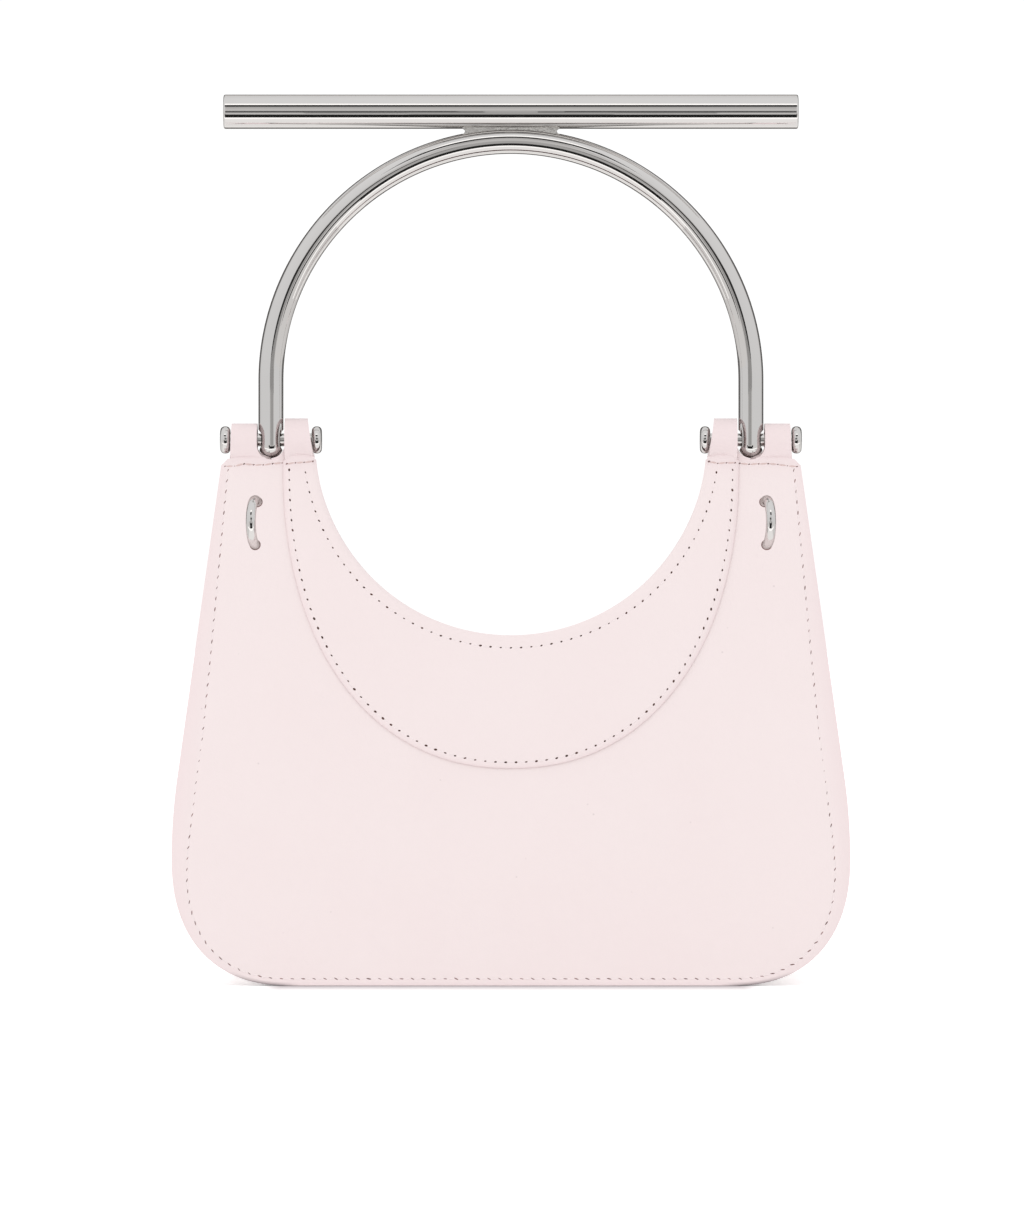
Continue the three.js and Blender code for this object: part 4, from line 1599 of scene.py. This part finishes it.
class TOTE_OT_pins(Operator):
    """Adds the two hinge pins with their round heads"""

    bl_idname = "tote.pins"
    bl_label = "Add Hinge Pins"

    def execute(self, context):
        tote = context.scene.tote_bag
        pins = tote.pins
        inner_end = pins.inner - pins.head_thick
        outer_end = pins.outer + pins.head_thick

        def head(start, end):
            low_rim = rounded(start, pins.head_radius, pins.head_round, -1)[::-1]
            return low_rim + rounded(end, pins.head_radius, pins.head_round, 1)

        shaft = [(pins.inner, pins.radius), (pins.outer, pins.radius)]
        profile = [(inner_end, 0), *head(inner_end, pins.inner), *shaft]
        profile += [*head(pins.outer, outer_end), (outer_end, 0)]
        for side, hand in LEFT_RIGHT:
            name = "pin_" + hand
            turned = [(side * x, radius) for x, radius in profile]
            bm = turn_on_x(turned, Vector((0, 0, pins.height)), PIN_SIDES)
            pin = new_piece(name + "_metal", bm, [polished_metal(tote.colours)], BAG, METAL, [name])
            sharpen(pin, TURNED_ANGLE)
        return {"FINISHED"}


def staple_frame(tote, side):
    """Where a staple stands on the leather: its legs go along Y and lie apart along Z."""
    pins = tote.pins
    body = tote.body
    step = 1 * MM
    here = inside_of_panel(body, pins.staple_x, pins.staple_z)
    slope = (inside_of_panel(body, pins.staple_x, pins.staple_z - step) - here) / step
    lean = Matrix.Rotation(side * pins.staple_lean, 4, "Z")
    tilt = Matrix.Rotation(-math.atan(slope), 4, "X")
    place = Vector((side * pins.staple_x, FRONT * (here + body.panel), pins.staple_z))
    return Matrix.Translation(place) @ lean @ tilt


def staple_stops(tote, side):
    """Middle line of a staple's wire, and the direction across its plane."""
    pins = tote.pins
    to_bag = staple_frame(tote, side)
    half = pins.staple_half
    straight = pins.staple_straight
    start = -tote.body.panel - pins.staple_behind
    path = [(mix(start, straight, part), half) for part in parts(STAPLE_LEG_STEPS)[:-1]]
    for part in parts(STAPLE_STEPS):
        point = on_circle(half, math.pi / 2 - math.pi * part)
        path.append((straight + point.x, point.y))
    path += [(mix(straight, start, part), -half) for part in parts(STAPLE_LEG_STEPS)[1:]]
    stops = rod_stops([(to_bag @ Vector((0, -out, up)), pins.staple_wire) for out, up in path])
    return stops, (to_bag.to_3x3() @ Vector((1, 0, 0))).normalized()


class TOTE_OT_staples(Operator):
    """Adds the two wire staples for a shoulder strap"""

    bl_idname = "tote.staples"
    bl_label = "Add Staples"

    def execute(self, context):
        tote = context.scene.tote_bag
        for side, hand in LEFT_RIGHT:
            name = "staple_" + hand
            bm = bmesh.new()
            stops, across = staple_stops(tote, side)
            sweep(bm, stops, across, WIRE_SIDES)
            piece = new_piece(name + "_metal", bm, [polished_metal(tote.colours)], BAG, METAL, [name])
            piece.visible_shadow = False
            piece.visible_diffuse = False
            sharpen(piece, TURNED_ANGLE)
        return {"FINISHED"}


# Stage


def stage_plane(name, width, depth, matrix):
    """A flat piece of the stage, placed by its matrix."""
    bm = bmesh.new()
    size = Matrix.Diagonal((width, depth, 1, 1))
    bmesh.ops.create_grid(bm, x_segments=1, y_segments=1, size=0.5, matrix=matrix @ size)
    plane = new_object(name, bm)
    plane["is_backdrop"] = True
    return plane


def card(name, width, depth, matrix, brightness):
    """A studio card that shows only in the metal's reflections."""
    plane = stage_plane(name, width, depth, matrix)
    material = bpy.data.materials.new(name)
    tree = empty_tree(material)
    tint = (*(brightness * value for value in KEY_TINT), 1)
    light = add_node(tree, "ShaderNodeEmission", {"Color": tint})
    add_node(tree, "ShaderNodeOutputMaterial", {"Surface": light.outputs["Emission"]})
    plane.data.materials.append(material)
    for rays in ("camera", "diffuse", "shadow", "transmission", "volume_scatter"):
        setattr(plane, "visible_" + rays, False)


def background(tree, tint, strength):
    return add_node(tree, "ShaderNodeBackground", {"Color": tint, "Strength": strength}).outputs[0]


def blend_shaders(tree, factor, first, second):
    return add_node(tree, "ShaderNodeMixShader", {0: factor, 1: first, 2: second}).outputs[0]


def studio_world(stage):
    """White to the camera, even light on the leather and a soft grey gradient in the metal."""
    world = bpy.data.worlds.new("Studio")
    tree = empty_tree(world)
    rays = tree.nodes.new("ShaderNodeLightPath").outputs
    way = tree.nodes.new("ShaderNodeTexCoord").outputs["Generated"]
    height = add_node(tree, "ShaderNodeSeparateXYZ", {"Vector": way}).outputs["Z"]
    grey = span_node(tree, height, *GREY_HEIGHTS, *GREYS)
    tinted = add_node(tree, "ShaderNodeCombineColor", {"Red": grey, "Green": grey, "Blue": grey})
    glossy = background(tree, tinted.outputs["Color"], 1.0)
    even = background(tree, WHITE, stage.ambient)
    lit = blend_shaders(tree, rays["Is Glossy Ray"], even, glossy)
    shown = blend_shaders(tree, rays["Is Camera Ray"], lit, background(tree, WHITE, SEEN_WHITE))
    add_node(tree, "ShaderNodeOutputWorld", {"Surface": shown})
    bpy.context.scene.world = world


def studio_floor(tote):
    """A white floor that is darker only close to where the bag stands on it."""
    floor = stage_plane("floor", FLOOR_WIDTH, FLOOR_WIDTH, Matrix.Identity(4))
    material, tree, shader, place = new_material("Studio floor")
    cloud = noise(tree, place, 3.0, 2.0)
    tone = blend_colours(tree, cloud, opaque(tote.colours.floor), opaque(tote.colours.floor, 0.99))
    parted = add_node(tree, "ShaderNodeSeparateXYZ", {"Vector": place}).outputs
    squares = []
    for axis, half, steepness in (
        ("X", tote.body.base_half + CONTACT_PAST, CONTACT_SIDEWAYS),
        ("Y", tote.body.depth / 2, 1.0),
    ):
        outside = math_node(tree, "SUBTRACT", math_node(tree, "ABSOLUTE", parted[axis]), half)
        outside = math_node(tree, "MULTIPLY", math_node(tree, "MAXIMUM", outside, 0.0), steepness)
        squares.append(math_node(tree, "MULTIPLY", outside, outside))
    away = math_node(tree, "SQRT", math_node(tree, "ADD", *squares))
    near = span_node(tree, away, 0, CONTACT_FADE, 1.0, 0.0)
    seen = tree.nodes.new("ShaderNodeLightPath").outputs["Is Camera Ray"]
    shade = math_node(tree, "MULTIPLY", near, seen)
    glow = math_node(tree, "MULTIPLY", math_node(tree, "SUBTRACT", seen, shade), tote.stage.floor_glow)
    inputs = {
        "Base Color": blend_colours(tree, shade, tone, opaque(tote.colours.contact)),
        "Roughness": 0.9,
        "Specular IOR Level": 0.0,
        "Emission Color": WHITE,
        "Emission Strength": glow,
    }
    feed(tree, shader, inputs)
    floor.data.materials.append(material)


def floor_card(name, half_width, near, far, height, brightness):
    """A card that lies on the floor between two distances from the bag."""
    low, high = sorted((near, far))
    middle = Matrix.Translation((0, (low + high) / 2, height))
    card(name, 2 * half_width, high - low, middle, brightness)


def standing_card(name, across, distance, heights, brightness):
    """A card that stands across the view, between two places across and two heights."""
    left, right = sorted(across)
    low, high = heights
    middle = Matrix.Translation(((left + right) / 2, distance, (low + high) / 2))
    card(name, right - left, high - low, middle @ Matrix.Rotation(math.pi / 2, 4, "X"), brightness)


def studio_cards():
    """Grey, dark and white cards round the bag, for the bands and the dark outlines in the metal."""
    half = FLOOR_WIDTH / 2
    floor_card("card_floor", half, -half, half, LOW_CARD, 0.75)
    floor_card("card_floor_light", 0.2, -0.17, 0.17, HIGH_CARD, 0.98)
    for way, where, black in ((-1, "front_", 0.02), (1, "back_", 0.25)):
        for name, across, heights, brightness in FAR_CARDS:
            standing_card(where + name, across, way * FAR_CARD, heights, brightness)
        for name, half_width, near, far, brightness in FLOOR_CARDS:
            floor_card(where + name, half_width, way * near, way * far, HIGH_CARD, brightness or black)
        for name, across, heights, brightness in NEAR_CARDS:
            standing_card(where + name, across, way * NEAR_CARD, heights, brightness or black)
        for side, hand in LEFT_RIGHT:
            for name, (inner, outer), heights, brightness in SIDE_CARDS:
                across = (side * inner, side * outer)
                title = f"{where}{hand}_{name}"
                standing_card(title, across, way * NEAR_CARD, heights, brightness or black)
    for side, hand in LEFT_RIGHT:
        standing_card(hand + "_outline", (side * 0.3, side * 4.2), 2.25, (0, 2.4), 0.2)


def studio_key(stage):
    """A soft light from the upper left in front, which the metal doesn't show."""
    data = bpy.data.lights.new("key", "SUN")
    data.energy = stage.key
    data.angle = math.radians(KEY_ANGLE)
    data.color = KEY_TINT
    key = bpy.data.objects.new("key", data)
    key.rotation_mode = "QUATERNION"
    key.rotation_quaternion = Vector(KEY_WAY).to_track_quat("-Z", "Y")
    key.visible_glossy = False
    bpy.context.scene.collection.objects.link(key)


def studio_camera(stage):
    data = bpy.data.cameras.new("camera")
    data.lens = stage.lens
    data.sensor_width = 36
    data.clip_start = 0.05
    data.clip_end = 100
    camera = bpy.data.objects.new("camera", data)
    camera.location = (stage.camera_x, -stage.distance, stage.camera_z)
    camera.rotation_euler = (math.pi / 2, 0, 0)
    bpy.context.scene.collection.objects.link(camera)
    bpy.context.scene.camera = camera


class TOTE_OT_stage(Operator):
    """Adds the camera, the soft light, the pale floor and the cards that the metal reflects"""

    bl_idname = "tote.stage"
    bl_label = "Add Stage"

    def execute(self, context):
        tote = context.scene.tote_bag
        studio_camera(tote.stage)
        studio_world(tote.stage)
        studio_floor(tote)
        studio_cards()
        studio_key(tote.stage)
        context.scene.view_settings.view_transform = "Standard"
        context.scene.view_settings.look = "None"
        return {"FINISHED"}


class TOTE_PT_sidebar(Panel):
    """Lists the steps that build the bag"""

    bl_idname = "TOTE_PT_sidebar"
    bl_label = "Mini Tote Bag"
    bl_space_type = "VIEW_3D"
    bl_region_type = "UI"
    bl_category = "Tote Bag"

    def draw(self, context):
        column = self.layout.column()
        for operator in OPERATORS:
            column.operator(operator.bl_idname)
        for name in ("body", "yoke", "stitches", "handle", "colours"):
            group = getattr(context.scene.tote_bag, name)
            box = self.layout.box()
            for field in group.__annotations__:
                box.prop(group, field)


OPERATORS = (
    TOTE_OT_stage,
    TOTE_OT_panels,
    TOTE_OT_yoke,
    TOTE_OT_gusset,
    TOTE_OT_stitches,
    TOTE_OT_handle,
    TOTE_OT_pins,
    TOTE_OT_staples,
)
GROUPS = (
    ToteBody,
    ToteYoke,
    ToteGusset,
    ToteStitches,
    ToteLoops,
    ToteHandle,
    TotePins,
    ToteColours,
    ToteStage,
    ToteSettings,
)
CLASSES = (*GROUPS, *OPERATORS, TOTE_PT_sidebar)


def register():
    for cls in CLASSES:
        bpy.utils.register_class(cls)
    bpy.types.Scene.tote_bag = PointerProperty(type=ToteSettings)


def unregister():
    del bpy.types.Scene.tote_bag
    for cls in reversed(CLASSES):
        bpy.utils.unregister_class(cls)


def main():
    register()
    bpy.ops.tote.stage()
    bpy.ops.tote.panels()
    bpy.ops.tote.yoke()
    bpy.ops.tote.gusset()
    bpy.ops.tote.stitches()
    bpy.ops.tote.handle()
    bpy.ops.tote.pins()
    bpy.ops.tote.staples()
    boxes = {"cad": CAD_BOX, "visual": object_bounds()}
    {name: [list(corner) for corner in box] for name, box in boxes.items()}


if __name__ == "__main__":
    main()
